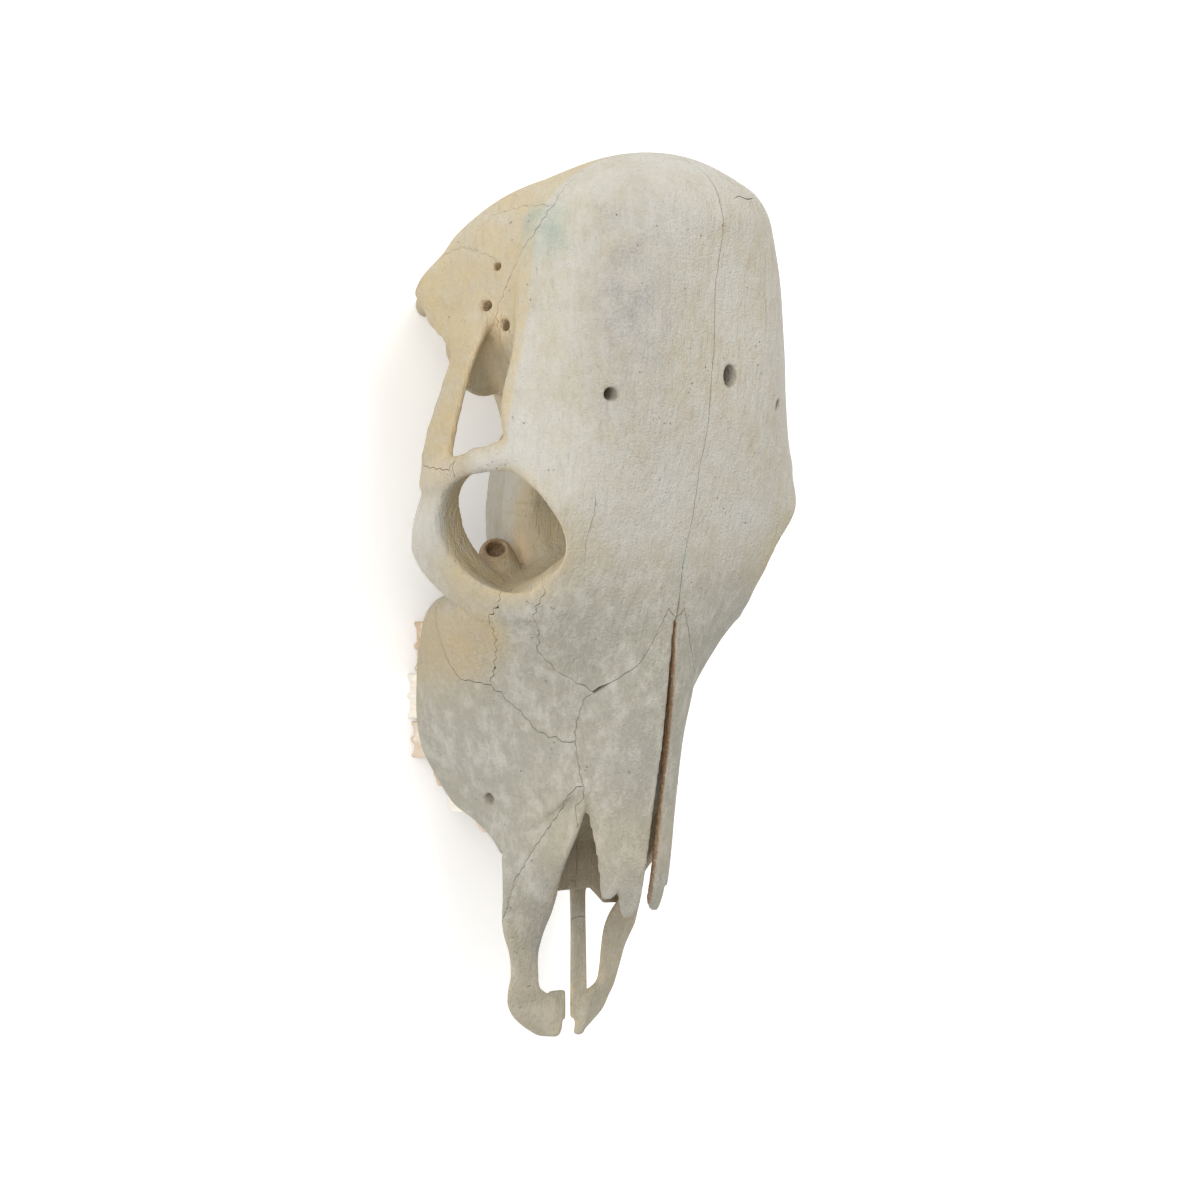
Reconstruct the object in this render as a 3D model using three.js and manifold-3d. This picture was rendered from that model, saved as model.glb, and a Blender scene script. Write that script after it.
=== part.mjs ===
// Cow skull without its lower jaw, resting on its cheek teeth and the base of the skull.
// Millimetres. X to the animal's left, Y to the back of the head, Z up, floor at Z = 0.
// The bone is a solid described by its distance field, meshed once, then parted along its sutures.
import * as THREE from 'three';
import Module from 'manifold-3d';

// Driving dimensions of the whole skull
const MIDDLE_Y = 222.6;
const GRID_STEP = 3;
const BONE_TRIANGLES = 8200;
const SUTURE_GAP = 0.3;
const WELD = 0.02;
const FLOOR = 0;
const GRID_LOW = [-108, -4, -5];
const GRID_HIGH = [108, 449, 183];

// Dorsal midline: stations along Y and height
const TOP_LINE = [
  [60, 78, 116, 173, 208, 241, 269, 305, 324, 364, 390, 408, 425],
  [107, 113.5, 121.3, 131.4, 135.1, 142.3, 149.4, 159, 162.4, 165.5, 169.5, 172.5, 173],
];

// Face: lengthwise lines of the half outline, each as half widths and heights at the face stations
const FACE_STATIONS = [94, 103, 112, 121, 135, 148, 162, 180, 200, 220, 238];
const PALATE_HEIGHTS = [57, 54, 50, 46, 42, 38, 36, 33, 33, 38, 48];
const FACE_LINES = {
  nasalEdge: [[24, 26, 28, 29.5, 31, 32, 33, 34, 40, 48, 58], [106, 105, 104, 103, 102, 102, 103, 111, 120, 127, 132]],
  upperSide: [[35, 36.5, 38, 40, 43, 45.5, 48.5, 52, 59, 69, 66], [86, 85, 84, 83, 82, 82, 83.5, 90, 99, 111, 119]],
  facialCrest: [[43, 44.5, 46, 49, 54, 59, 63.5, 69, 74, 76, 60], [64, 60, 56, 51, 47, 44, 43, 48, 54, 58, 72]],
  alveolarMargin: [[43, 43, 44, 48.5, 55, 61.5, 63.5, 63, 61, 57, 46],
    [54.5, 47, 35, 22, 16, 14, 12.5, 11.5, 11.5, 16, 42]],
  innerAlveolar: [[28, 28, 28.5, 30, 33, 36, 38, 39, 39, 37, 30], [51, 45, 36, 27, 22, 21, 21, 21, 22, 25, 44]],
  palate: [[0, 0, 0, 0, 0, 0, 0, 0, 0, 0, 0], PALATE_HEIGHTS],
};

// Braincase: lengthwise lines of the half outline at the braincase stations
const BRAINCASE_STATIONS = [226, 245, 265, 285, 310, 345, 380, 410, 440];
const BRAINCASE_LINES = {
  forehead: [[38, 44, 48, 50, 50, 50, 47, 42, 38], [134, 139.5, 146, 150, 154, 157.5, 159, 159, 160]],
  temporalLine: [[74, 78, 84.5, 89.5, 92, 83.5, 78, 70, 56], [121, 130, 134, 125, 117, 121, 123, 123, 122]],
  underShelf: [[58, 58, 62, 66, 64, 61, 66, 66, 54], [108, 113, 119, 106, 104, 106, 107, 105, 102]],
  fossaWall: [[38, 38, 40, 46, 53, 64, 78, 76, 56], [96, 98, 98, 88, 80, 76, 76, 74, 72]],
  lowerWall: [[36, 38, 39, 40, 44, 58, 72, 68, 46], [70, 62, 60, 62, 60, 54, 52, 52, 50]],
  baseEdge: [[32, 34, 34, 31, 30, 36, 38, 34, 30], [50, 47, 46, 45, 43, 38, 34, 34, 34]],
  base: [[0, 0, 0, 0, 0, 0, 0, 0, 0], [50, 48, 46, 45, 43, 38, 34, 33, 34]],
};
// Back of the skull: how far back it reaches at each height, and how much it falls away sideways
const BACK_LINE = [
  [20, 40, 60, 80, 100, 118, 135, 150, 163, 171, 180],
  [399, 408, 418, 428, 437, 440, 437.5, 431, 422, 410, 390],
];
const BACK_ROUNDING = [[40, 60, 84, 115, 145], [5, 6, 7, 11.5, 13]];

// Nose: stations, half width and height of the lateral edge of the nasal bones
const NASAL_EDGE = [[60, 92, 124, 153, 174, 208], [19, 22.3, 28.2, 32.8, 33, 33], [102, 106, 103.4, 101.7, 110.5, 121]];
const NASAL_THICKNESS = 5.6;
const NASAL_GAP = [[60, 90, 116, 150, 180, 210], [3, 2.4, 1.8, 1.3, 0.8, 0.3]];

// Incisive bones: stations, then lateral edge and medial edge as half widths and heights, then half thickness
const INCISIVE_STATIONS = [3, 9, 15, 21, 25, 29, 36, 47, 58, 66, 75, 87, 97, 112, 135];
const INCISIVE_OUTER = [
  [10, 19.5, 26.5, 29.8, 31.3, 32, 32.4, 34.8, 40, 41.8, 42.8, 43, 43.3, 42, 40],
  [46, 45, 45, 45.5, 47, 48.5, 51, 53, 54.7, 55.5, 57, 57.5, 58, 62, 72],
];
const INCISIVE_INNER = [
  [8, 7.6, 8.4, 8.8, 15, 21.5, 23.4, 24, 23.2, 23, 25, 28, 30, 29.5, 28.5],
  [51, 53, 52.5, 52.5, 52.5, 52.8, 53.5, 54.5, 58, 63, 70, 78, 86, 95, 103],
];
const INCISIVE_RADIUS = [3, 3.2, 3.4, 3.5, 3.4, 3.3, 3.3, 3.2, 3.2, 3.2, 3.2, 3.2, 3.2, 3.2, 3];

// Cheek teeth, front to back: place along Y, length, half width place, crown tip height
const TOOTH_ROW = [
  { name: 'p2', y: 111.8, length: 11, width: 9.8, out: 39, tip: 27 },
  { name: 'p3', y: 122.6, length: 13.2, width: 14.4, out: 46.5, tip: 13 },
  { name: 'p4', y: 136.2, length: 14.6, width: 17.4, out: 52.5, tip: 8 },
  { name: 'm1', y: 153, length: 19.2, width: 20.4, out: 60, tip: 1.5 },
  { name: 'm2', y: 174.8, length: 23.4, width: 21.4, out: 61, tip: 0 },
  { name: 'm3', y: 199.8, length: 26, width: 20.6, out: 59.5, tip: 4 },
];

// Smooth joining and cutting of distances
const clamp = (v, low, high) => Math.min(high, Math.max(low, v));

function join(a, b, blend) {
  const h = clamp(0.5 + (0.5 * (b - a)) / blend, 0, 1);
  return b * (1 - h) + a * h - blend * h * (1 - h);
}

const overlap = (a, b, blend) => -join(-a, -b, blend);

// A smooth curve through stations, flat outside them
function curve(t, stations, values) {
  const last = stations.length - 1;
  const u = clamp(t, stations[0], stations[last]);
  let i = 0;
  while (i < last - 1 && u >= stations[i + 1]) i += 1;
  const slope = (k) => {
    const low = Math.max(0, k - 1);
    const high = Math.min(last, k + 1);
    return (values[high] - values[low]) / (stations[high] - stations[low]);
  };
  const h = stations[i + 1] - stations[i];
  const s = (u - stations[i]) / h;
  const s2 = s * s;
  const s3 = s2 * s;
  return (2 * s3 - 3 * s2 + 1) * values[i] + (s3 - 2 * s2 + s) * h * slope(i)
    + (3 * s2 - 2 * s3) * values[i + 1] + (s3 - s2) * h * slope(i + 1);
}

// Distance to an ellipsoid
function ellipsoid(p, centre, radii) {
  const q = [0, 1, 2].map((i) => (p[i] - centre[i]) / radii[i]);
  const k0 = Math.hypot(q[0], q[1], q[2]);
  const k1 = Math.hypot(q[0] / radii[0], q[1] / radii[1], q[2] / radii[2]) + 1e-6;
  return (k0 * (k0 - 1)) / k1;
}

// Distance to a tapered bar between two points, in a space stretched by scale
function bar(p, from, to, radiusFrom, radiusTo, scale) {
  let along = 0;
  let length = 0;
  const q = [0, 0, 0];
  const d = [0, 0, 0];
  for (let i = 0; i < 3; i += 1) {
    q[i] = (p[i] - from[i]) * scale[i];
    d[i] = (to[i] - from[i]) * scale[i];
    along += q[i] * d[i];
    length += d[i] * d[i];
  }
  const h = clamp(along / length, 0, 1);
  return Math.hypot(q[0] - h * d[0], q[1] - h * d[1], q[2] - h * d[2]) - (radiusFrom + (radiusTo - radiusFrom) * h);
}

function bars(p, points, scale, blend) {
  let distance = Infinity;
  for (let i = 0; i + 1 < points.length; i += 1) {
    const one = bar(p, points[i], points[i + 1], points[i][3], points[i + 1][3], scale);
    distance = i === 0 ? one : join(distance, one, blend);
  }
  return distance;
}

// The half outline of one slice across the head as a fine polyline, first and last point on the midline
function sliceOutline(y, stations, lines) {
  const points = [[0, curve(y, ...TOP_LINE)]];
  for (const line of Object.values(lines)) {
    points.push([curve(y, stations, line[0]), curve(y, stations, line[1])]);
  }
  const n = points.length;
  const padded = [[-points[1][0], points[1][1]], ...points, [-points[n - 2][0], points[n - 2][1]]];
  const fine = [];
  const steps = 4;
  for (let i = 1; i < n; i += 1) {
    for (let j = 0; j < steps; j += 1) {
      const t = j / steps;
      const w = [-0.5 * t ** 3 + t * t - 0.5 * t, 1.5 * t ** 3 - 2.5 * t * t + 1,
        -1.5 * t ** 3 + 2 * t * t + 0.5 * t, 0.5 * t ** 3 - 0.5 * t * t];
      fine.push([0, 1].map((c) => w.reduce((sum, wi, k) => sum + wi * padded[i - 1 + k][c], 0)));
    }
  }
  fine.push(points[n - 1]);
  return fine;
}

function outlineDistance(a, z, outline) {
  let nearest = Infinity;
  let inside = false;
  for (let i = 0; i + 1 < outline.length; i += 1) {
    const [x0, z0] = outline[i];
    const [x1, z1] = outline[i + 1];
    const dx = x1 - x0;
    const dz = z1 - z0;
    const h = clamp(((a - x0) * dx + (z - z0) * dz) / (dx * dx + dz * dz + 1e-9), 0, 1);
    nearest = Math.min(nearest, (a - x0 - h * dx) ** 2 + (z - z0 - h * dz) ** 2);
    if ((z0 > z) !== (z1 > z) && a < x0 + ((z - z0) * dx) / dz) inside = !inside;
  }
  return (inside ? -1 : 1) * Math.sqrt(nearest);
}

// What each slice needs, worked out once for its Y
function sliceValues(y) {
  return {
    face: sliceOutline(y, FACE_STATIONS, FACE_LINES),
    braincase: sliceOutline(y, BRAINCASE_STATIONS, BRAINCASE_LINES),
    top: curve(y, ...TOP_LINE),
    palate: curve(y, FACE_STATIONS, PALATE_HEIGHTS),
    nasalWidth: curve(y, NASAL_EDGE[0], NASAL_EDGE[1]),
    nasalHeight: curve(y, NASAL_EDGE[0], NASAL_EDGE[2]),
    gap: curve(y, ...NASAL_GAP),
    outer: INCISIVE_OUTER.map((v) => curve(y, INCISIVE_STATIONS, v)),
    inner: INCISIVE_INNER.map((v) => curve(y, INCISIVE_STATIONS, v)),
    radius: curve(y, INCISIVE_STATIONS, INCISIVE_RADIUS),
  };
}

// Face with its hollow nose
function faceDistance(a, y, z, at) {
  const opening = 98 + (z - 55) * 0.66;
  return overlap(outlineDistance(a, z, at.face), opening - y, 2);
}

// Distance to the back of the head, which falls away to the sides
function backDistance(a, y, z) {
  const fall = curve(z, ...BACK_ROUNDING) * (a / 45) ** 2;
  return (y - curve(z, ...BACK_LINE) + fall) * 0.86;
}

function braincaseDistance(a, y, z, at) {
  return overlap(outlineDistance(a, z, at.braincase), backDistance(a, y, z), 9);
}

function noseHollow(face, a, y, z, at) {
  const wall = 8;
  let hollow = overlap(face + wall, y - 190, 8);
  hollow = overlap(hollow, at.palate + 9 - z, 5);
  hollow = overlap(hollow, -overlap(38 - a, z - 48, 4), 4);
  return overlap(hollow, 86 + (z - 55) * 0.66 - y, 1);
}

// How far forward the nasal bones reach: a point at each tip, given as half width and Y
const NASAL_TIPS = { right: [[4.8, 66.5], [15, 75.5]], left: [[10.5, 69.5], [18.5, 81]] };

function nasalFront(x, a) {
  const reach = (x < 0 ? NASAL_TIPS.right : NASAL_TIPS.left).map(([at, y]) => y + (a > at ? 0.42 : 0.16) * (a - at) ** 2);
  return Math.min(...reach);
}

// Nasal bones: arched plates with two points each
function nasalDistance(x, a, y, z, at) {
  const spread = (at.top - at.nasalHeight) / at.nasalWidth ** 2;
  const rise = (z - at.top + spread * a * a) / Math.hypot(1, 2 * spread * a);
  const plate = Math.abs(rise + NASAL_THICKNESS / 2) - NASAL_THICKNESS / 2;
  const front = (nasalFront(x, a) - y) * 0.7;
  return overlap(overlap(overlap(plate, front, 1.2), a - at.nasalWidth, 1.5), y - 200, 2);
}

// Incisive bones: flat bodies that rise into the sides of the nose opening
function incisiveDistance(a, y, z, at) {
  const dx = at.inner[0] - at.outer[0];
  const dz = at.inner[1] - at.outer[1];
  const h = clamp(((a - at.outer[0]) * dx + (z - at.outer[1]) * dz) / (dx * dx + dz * dz), 0, 1);
  const plate = Math.hypot(a - at.outer[0] - h * dx, z - at.outer[1] - h * dz) - at.radius;
  const tip = 2.9 - y + 0.02 * Math.max(a - 14, 0) ** 2;
  return overlap(overlap(plate, tip, 2), y - 134, 2);
}

function noseFloor(a, y, z) {
  const height = curve(y, [60, 78, 100, 130], [56, 56.5, 58, 50]);
  const front = 77 - 0.9 * clamp(a - 12, 0, 22);
  return overlap(overlap(Math.abs(z - height) - 3, a - 41, 2), overlap(front - y, y - 135, 1), 2);
}

// Palatine processes: the right one is broken off short
function palatineProcess(x, a, y, z) {
  const rod = Math.hypot(Math.max(Math.abs(a - 7) - 2, 0), z - 52.5) - 2.6;
  const whole = overlap(rod, overlap(12 - y, y - 118, 1), 1);
  return x < 0 ? overlap(whole, y - 27, 1) : whole;
}

// Zygomatic arch, the plate under the orbit and the post behind it
const ARCH = [[66, 376, 76, 9], [78, 357, 80, 6.5], [86, 339, 82, 5], [92.5, 318, 79, 4.2], [97, 300, 77, 4.2], [99, 278, 73, 4.6]];
const ORBIT_POST = [[84, 288, 121, 6.5], [90, 290, 113, 6], [96, 288, 102, 5.3], [99, 284.5, 90, 4.8], [99, 281, 78, 4.8]];
const ORBIT_CENTRE = [254, 104];
const ORBIT_RADII = [29.5, 31.5];

function zygomaticPlate(a, y, z) {
  const side = Math.min(92 + 0.42 * (y - 250) - 0.33 * (z - 80), 99);
  const opening = (Math.hypot((y - ORBIT_CENTRE[0]) / ORBIT_RADII[0], (z - ORBIT_CENTRE[1]) / ORBIT_RADII[1]) - 1) * 29;
  const rim = (Math.hypot((y - 250) / 42, (z - 98) / 46) - 1) * 40;
  const lower = curve(y, [205, 226, 245, 262, 285, 300], [50, 53, 52, 54, 66, 70]);
  let plate = overlap((Math.abs(a - side + 3.5) - 3.8) * 0.85, -opening, 2.5);
  plate = overlap(plate, overlap(rim, lower - z, 3), 3);
  plate = overlap(overlap(plate, z - 112, 3), overlap(y - 287, 212 - y, 3), 3);
  let band = overlap(Math.abs(opening - 3) - 3, overlap(overlap(side - 22 - a, a - side, 2), z - 104, 3), 2);
  band = overlap(band, y - 288, 2);
  return join(plate, band, 3);
}

// Base of the skull
const PARACONDYLAR = [[58, 384, 44, 11], [54, 378, 22, 8], [49, 372, 4, 5.5]];

// Sloping plate between the temporal fossa, the ear and the back of the head: three corners of each face
const WEDGE_INSIDE = [60, 370, 60];
const WEDGE_FACES = [
  [[72, 412, 85], [71, 357, 93], [89.5, 371, 48]],
  [[72, 412, 85], [87, 380.5, 50], [56, 408, 50]],
  [[89.5, 371, 45], [87, 382, 48], [76, 370, 28]],
].map((corners) => facet(corners, WEDGE_INSIDE));

// Rim of the ear opening in front of that plate
const EAR_RIM = [[82, 349, 72, 8], [84, 360, 60, 6.5], [84.5, 370, 52, 5]];

// Plane through three corners, as a normal that points away from an inner point and its offset
function facet([p, q, r], inside) {
  const u = [q[0] - p[0], q[1] - p[1], q[2] - p[2]];
  const v = [r[0] - p[0], r[1] - p[1], r[2] - p[2]];
  const n = [u[1] * v[2] - u[2] * v[1], u[2] * v[0] - u[0] * v[2], u[0] * v[1] - u[1] * v[0]];
  const towards = n[0] * (inside[0] - p[0]) + n[1] * (inside[1] - p[1]) + n[2] * (inside[2] - p[2]);
  const size = Math.hypot(...n) * (towards > 0 ? -1 : 1);
  const normal = n.map((m) => m / size);
  return { normal, offset: normal[0] * p[0] + normal[1] * p[1] + normal[2] * p[2] };
}

function temporalWedge([a, y, z]) {
  const start = overlap(overlap(z - 91, 42 - z, 3), overlap(350 - y, backDistance(a, y, z), 3), 3);
  const away = ({ normal, offset }) => normal[0] * a + normal[1] * y + normal[2] * z - offset;
  return WEDGE_FACES.reduce((whole, face) => overlap(whole, away(face), 3), start);
}

function baseDistance(p, body) {
  let d = join(body, ellipsoid(p, [66, 345, 70], [21, 24, 9]), 6);
  d = join(d, temporalWedge(p), 4);
  d = join(d, bars(p, EAR_RIM, [1, 1, 1], 3), 4);
  d = join(d, ellipsoid(p, [25, 396, 30], [17, 13, 20]), 4);
  d = join(d, bars(p, PARACONDYLAR, [1, 0.85, 1], 3), 5);
  d = join(d, bar(p, [0, 300, 48], [0, 392, 28], 13, 17, [0.62, 1, 1]), 6);
  d = join(d, ellipsoid(p, [42, 350, 30], [10, 15, 15]), 3);
  return overlap(d, -bar(p, [0, 350, 56], [0, 440, 50], 10, 18, [1, 1, 1.15]), 3);
}

function pterygoidPlate(a, y, z) {
  const low = curve(y, [215, 240, 275, 300, 315], [26, 24, 22, 27, 44]);
  const sheet = Math.abs(a - curve(y, [220, 260, 300], [26, 25, 22])) - 2.9;
  return overlap(overlap(sheet, overlap(low - z, z - 60, 2), 2), overlap(215 - y, y - 312, 3), 3);
}

function choana(a, y, z) {
  const roof = curve(y, [230, 260, 300], [80, 70, 50]);
  return overlap(a - 18, overlap(238 - y, overlap(z - roof, y - 300, 4), 4), 4);
}

// Distance to the whole bone at a point
function boneDistance(x, y, z, at) {
  const a = Math.abs(x);
  const p = [a, y, z];
  const face = faceDistance(a, y, z, at);
  const t = clamp((y - 222) / 24, 0, 1);
  const back = t * t * (3 - 2 * t);
  let d = t === 0 ? face : face * (1 - back) + braincaseDistance(a, y, z, at) * back;
  d = overlap(d, -noseHollow(face, a, y, z, at), 2);
  d = join(d, nasalDistance(x, a, y, z, at), 1.5);
  d = overlap(d, -overlap(overlap(a - at.gap, 100 - z, 1), y - 212, 1), 1);
  d = join(d, incisiveDistance(a, y, z, at), 1.5);
  d = join(d, noseFloor(a, y, z), 2);
  d = join(d, palatineProcess(x, a, y, z), 2);
  d = join(d, bars(p, ARCH, [1, 1, 0.5], 2), 5);
  d = join(d, zygomaticPlate(a, y, z), 4);
  d = join(d, bars(p, ORBIT_POST, [1, 0.9, 1], 2), 4);
  d = baseDistance(p, d);
  d = join(d, pterygoidPlate(a, y, z), 3);
  d = overlap(d, -choana(a, y, z), 3);
  return overlap(d, -ellipsoid(p, [62, 261, 97], [44, 27, 29]), 2.5);
}

// The field on a regular grid
function sampleField() {
  const counts = [0, 1, 2].map((i) => Math.ceil((GRID_HIGH[i] - GRID_LOW[i]) / GRID_STEP) + 1);
  const values = new Float32Array(counts[0] * counts[1] * counts[2]);
  const place = (axis, i) => GRID_LOW[axis] + i * GRID_STEP;
  for (let j = 0; j < counts[1]; j += 1) {
    const y = place(1, j);
    const at = sliceValues(y);
    for (let i = 0; i < counts[0]; i += 1) {
      for (let k = 0; k < counts[2]; k += 1) {
        values[(i * counts[1] + j) * counts[2] + k] = boneDistance(place(0, i), y, place(2, k), at);
      }
    }
  }
  return { counts, values };
}

// Surface nets: one point in each grid cell that the surface crosses, one square for each crossed edge
function meshField({ counts, values }) {
  const [nx, ny, nz] = counts;
  const index = (i, j, k) => (i * ny + j) * nz + k;
  const cellPoint = new Int32Array(nx * ny * nz).fill(-1);
  const points = [];
  const corners = [0, 1, 2, 3, 4, 5, 6, 7].map((c) => [c & 1, (c >> 1) & 1, (c >> 2) & 1]);
  const edges = [];
  for (let c = 0; c < 8; c += 1) {
    for (const bit of [1, 2, 4]) if (!(c & bit)) edges.push([c, c | bit]);
  }
  for (let i = 0; i + 1 < nx; i += 1) {
    for (let j = 0; j + 1 < ny; j += 1) {
      for (let k = 0; k + 1 < nz; k += 1) {
        const v = corners.map(([a, b, c]) => values[index(i + a, j + b, k + c)]);
        const sum = [0, 0, 0];
        let crossings = 0;
        for (const [p, q] of edges) {
          if ((v[p] < 0) === (v[q] < 0)) continue;
          const t = v[p] / (v[p] - v[q]);
          for (let m = 0; m < 3; m += 1) sum[m] += corners[p][m] + t * (corners[q][m] - corners[p][m]);
          crossings += 1;
        }
        if (crossings === 0) continue;
        cellPoint[index(i, j, k)] = points.length;
        points.push([i, j, k].map((n, m) => GRID_LOW[m] + (n + sum[m] / crossings) * GRID_STEP));
      }
    }
  }
  const triangles = [];
  const quad = (a, b, c, d, flip) => {
    if (flip) triangles.push([a, c, b], [a, d, c]);
    else triangles.push([a, b, c], [a, c, d]);
  };
  for (let i = 1; i + 1 < nx; i += 1) {
    for (let j = 1; j + 1 < ny; j += 1) {
      for (let k = 1; k + 1 < nz; k += 1) {
        const here = values[index(i, j, k)] < 0;
        const at = (a, b, c) => cellPoint[index(i + a, j + b, k + c)];
        if (here !== values[index(i + 1, j, k)] < 0) quad(at(0, -1, -1), at(0, 0, -1), at(0, 0, 0), at(0, -1, 0), !here);
        if (here !== values[index(i, j + 1, k)] < 0) quad(at(-1, 0, -1), at(-1, 0, 0), at(0, 0, 0), at(0, 0, -1), !here);
        if (here !== values[index(i, j, k + 1)] < 0) quad(at(-1, -1, 0), at(0, -1, 0), at(0, 0, 0), at(-1, 0, 0), !here);
      }
    }
  }
  return { points, triangles };
}

// Edge collapse by quadric error until the mesh has the wanted number of triangles
function quadricOf(p, q, r) {
  const u = [0, 1, 2].map((i) => q[i] - p[i]);
  const v = [0, 1, 2].map((i) => r[i] - p[i]);
  const n = [u[1] * v[2] - u[2] * v[1], u[2] * v[0] - u[0] * v[2], u[0] * v[1] - u[1] * v[0]];
  const size = Math.hypot(...n) || 1e-9;
  const [a, b, c] = n.map((m) => m / size);
  const d = -(a * p[0] + b * p[1] + c * p[2]);
  return [a * a, a * b, a * c, a * d, b * b, b * c, b * d, c * c, c * d, d * d].map((m) => m * size);
}

function quadricError(q, [x, y, z]) {
  return q[0] * x * x + 2 * q[1] * x * y + 2 * q[2] * x * z + 2 * q[3] * x + q[4] * y * y
    + 2 * q[5] * y * z + 2 * q[6] * y + q[7] * z * z + 2 * q[8] * z + q[9];
}

function bestPoint(q, fallback) {
  const [a, b, c, d, e, f, g, h, i] = q;
  const det = a * (e * h - f * f) - b * (b * h - f * c) + c * (b * f - e * c);
  if (Math.abs(det) < 1e-3) return fallback;
  const x = -(d * (e * h - f * f) - b * (g * h - f * i) + c * (g * f - e * i)) / det;
  const y = -(a * (g * h - i * f) - d * (b * h - f * c) + c * (b * i - g * c)) / det;
  const z = -(a * (e * i - f * g) - b * (b * i - g * c) + d * (b * f - e * c)) / det;
  const far = Math.hypot(x - fallback[0], y - fallback[1], z - fallback[2]) > 2 * GRID_STEP;
  return far ? fallback : [x, y, z];
}

class Heap {
  constructor() {
    this.items = [];
  }

  push(item) {
    const list = this.items;
    let i = list.push(item) - 1;
    while (i > 0 && list[(i - 1) >> 1].cost > list[i].cost) {
      const up = (i - 1) >> 1;
      [list[i], list[up]] = [list[up], list[i]];
      i = up;
    }
  }

  pop() {
    const list = this.items;
    const first = list[0];
    const last = list.pop();
    if (list.length > 0) {
      list[0] = last;
      let i = 0;
      for (;;) {
        let low = i;
        for (const k of [2 * i + 1, 2 * i + 2]) if (k < list.length && list[k].cost < list[low].cost) low = k;
        if (low === i) break;
        [list[i], list[low]] = [list[low], list[i]];
        i = low;
      }
    }
    return first;
  }
}

function faceNormal(points, [i, j, k]) {
  const [p, q, r] = [points[i], points[j], points[k]];
  const u = [q[0] - p[0], q[1] - p[1], q[2] - p[2]];
  const v = [r[0] - p[0], r[1] - p[1], r[2] - p[2]];
  return [u[1] * v[2] - u[2] * v[1], u[2] * v[0] - u[0] * v[2], u[0] * v[1] - u[1] * v[0]];
}

function simplify({ points, triangles }, target) {
  const around = points.map(() => new Set());
  const quadrics = points.map(() => new Array(10).fill(0));
  triangles.forEach((t, n) => {
    const q = quadricOf(points[t[0]], points[t[1]], points[t[2]]);
    for (const v of t) {
      around[v].add(n);
      for (let i = 0; i < 10; i += 1) quadrics[v][i] += q[i];
    }
  });
  const alive = triangles.map(() => true);
  const version = new Int32Array(points.length);
  const neighbours = (v) => {
    const set = new Set();
    for (const n of around[v]) for (const w of triangles[n]) if (w !== v) set.add(w);
    return set;
  };
  const heap = new Heap();
  const offer = (a, b) => {
    const q = quadrics[a].map((m, i) => m + quadrics[b][i]);
    const middle = [0, 1, 2].map((i) => (points[a][i] + points[b][i]) / 2);
    const place = bestPoint(q, middle);
    heap.push({ cost: quadricError(q, place), a, b, place, stamp: version[a] + version[b] });
  };
  points.forEach((_, v) => {
    for (const w of neighbours(v)) if (w > v) offer(v, w);
  });
  let count = triangles.length;
  const keepsFacing = (v, other, place) => {
    for (const n of around[v]) {
      const t = triangles[n];
      if (t.includes(other)) continue;
      const before = faceNormal(points, t);
      const kept = points[v];
      points[v] = place;
      const after = faceNormal(points, t);
      points[v] = kept;
      const dot = before[0] * after[0] + before[1] * after[1] + before[2] * after[2];
      if (dot < 0.25 * Math.hypot(...before) * Math.hypot(...after)) return false;
    }
    return true;
  };
  while (count > target && heap.items.length > 0) {
    const { a, b, place, stamp } = heap.pop();
    if (around[a].size === 0 || around[b].size === 0 || stamp !== version[a] + version[b]) continue;
    const near = neighbours(a);
    if (!near.has(b)) continue;
    const shared = [...neighbours(b)].filter((w) => near.has(w));
    if (shared.length !== 2 || !keepsFacing(a, b, place) || !keepsFacing(b, a, place)) continue;
    points[a] = place;
    for (const n of [...around[b]]) {
      const t = triangles[n];
      if (t.includes(a)) {
        alive[n] = false;
        count -= 1;
        for (const w of t) around[w].delete(n);
      } else {
        triangles[n] = t.map((w) => (w === b ? a : w));
        around[a].add(n);
      }
    }
    around[b].clear();
    for (let i = 0; i < 10; i += 1) quadrics[a][i] += quadrics[b][i];
    version[a] += 1;
    version[b] += 1;
    for (const w of neighbours(a)) offer(a, w);
  }
  const used = new Map();
  const outPoints = [];
  const outTriangles = triangles.filter((_, n) => alive[n]).map((t) => t.map((v) => {
    if (!used.has(v)) {
      used.set(v, outPoints.length);
      outPoints.push(points[v]);
    }
    return used.get(v);
  }));
  return { points: outPoints, triangles: outTriangles };
}

// Solids from meshes and from three.js geometries
const wasm = await Module();
wasm.setup();

function solidFromMesh({ points, triangles }) {
  return new wasm.Manifold(new wasm.Mesh({
    numProp: 3,
    vertProperties: new Float32Array(points.flat()),
    triVerts: new Uint32Array(triangles.flat()),
    tolerance: WELD,
  }));
}

function solidFromGeometry(geometry) {
  const position = geometry.attributes.position;
  const ids = new Map();
  const points = [];
  const idOf = (n) => {
    const p = [position.getX(n), position.getY(n), position.getZ(n)];
    const key = p.map((m) => Math.round(m * 1000)).join(',');
    if (!ids.has(key)) {
      ids.set(key, points.length);
      points.push(p);
    }
    return ids.get(key);
  };
  const total = geometry.index ? geometry.index.count : position.count;
  const triangles = [];
  for (let i = 0; i < total; i += 3) {
    const t = [0, 1, 2].map((c) => idOf(geometry.index ? geometry.index.getX(i + c) : i + c));
    if (new Set(t).size === 3) triangles.push(t);
  }
  return solidFromMesh({ points, triangles });
}

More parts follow.
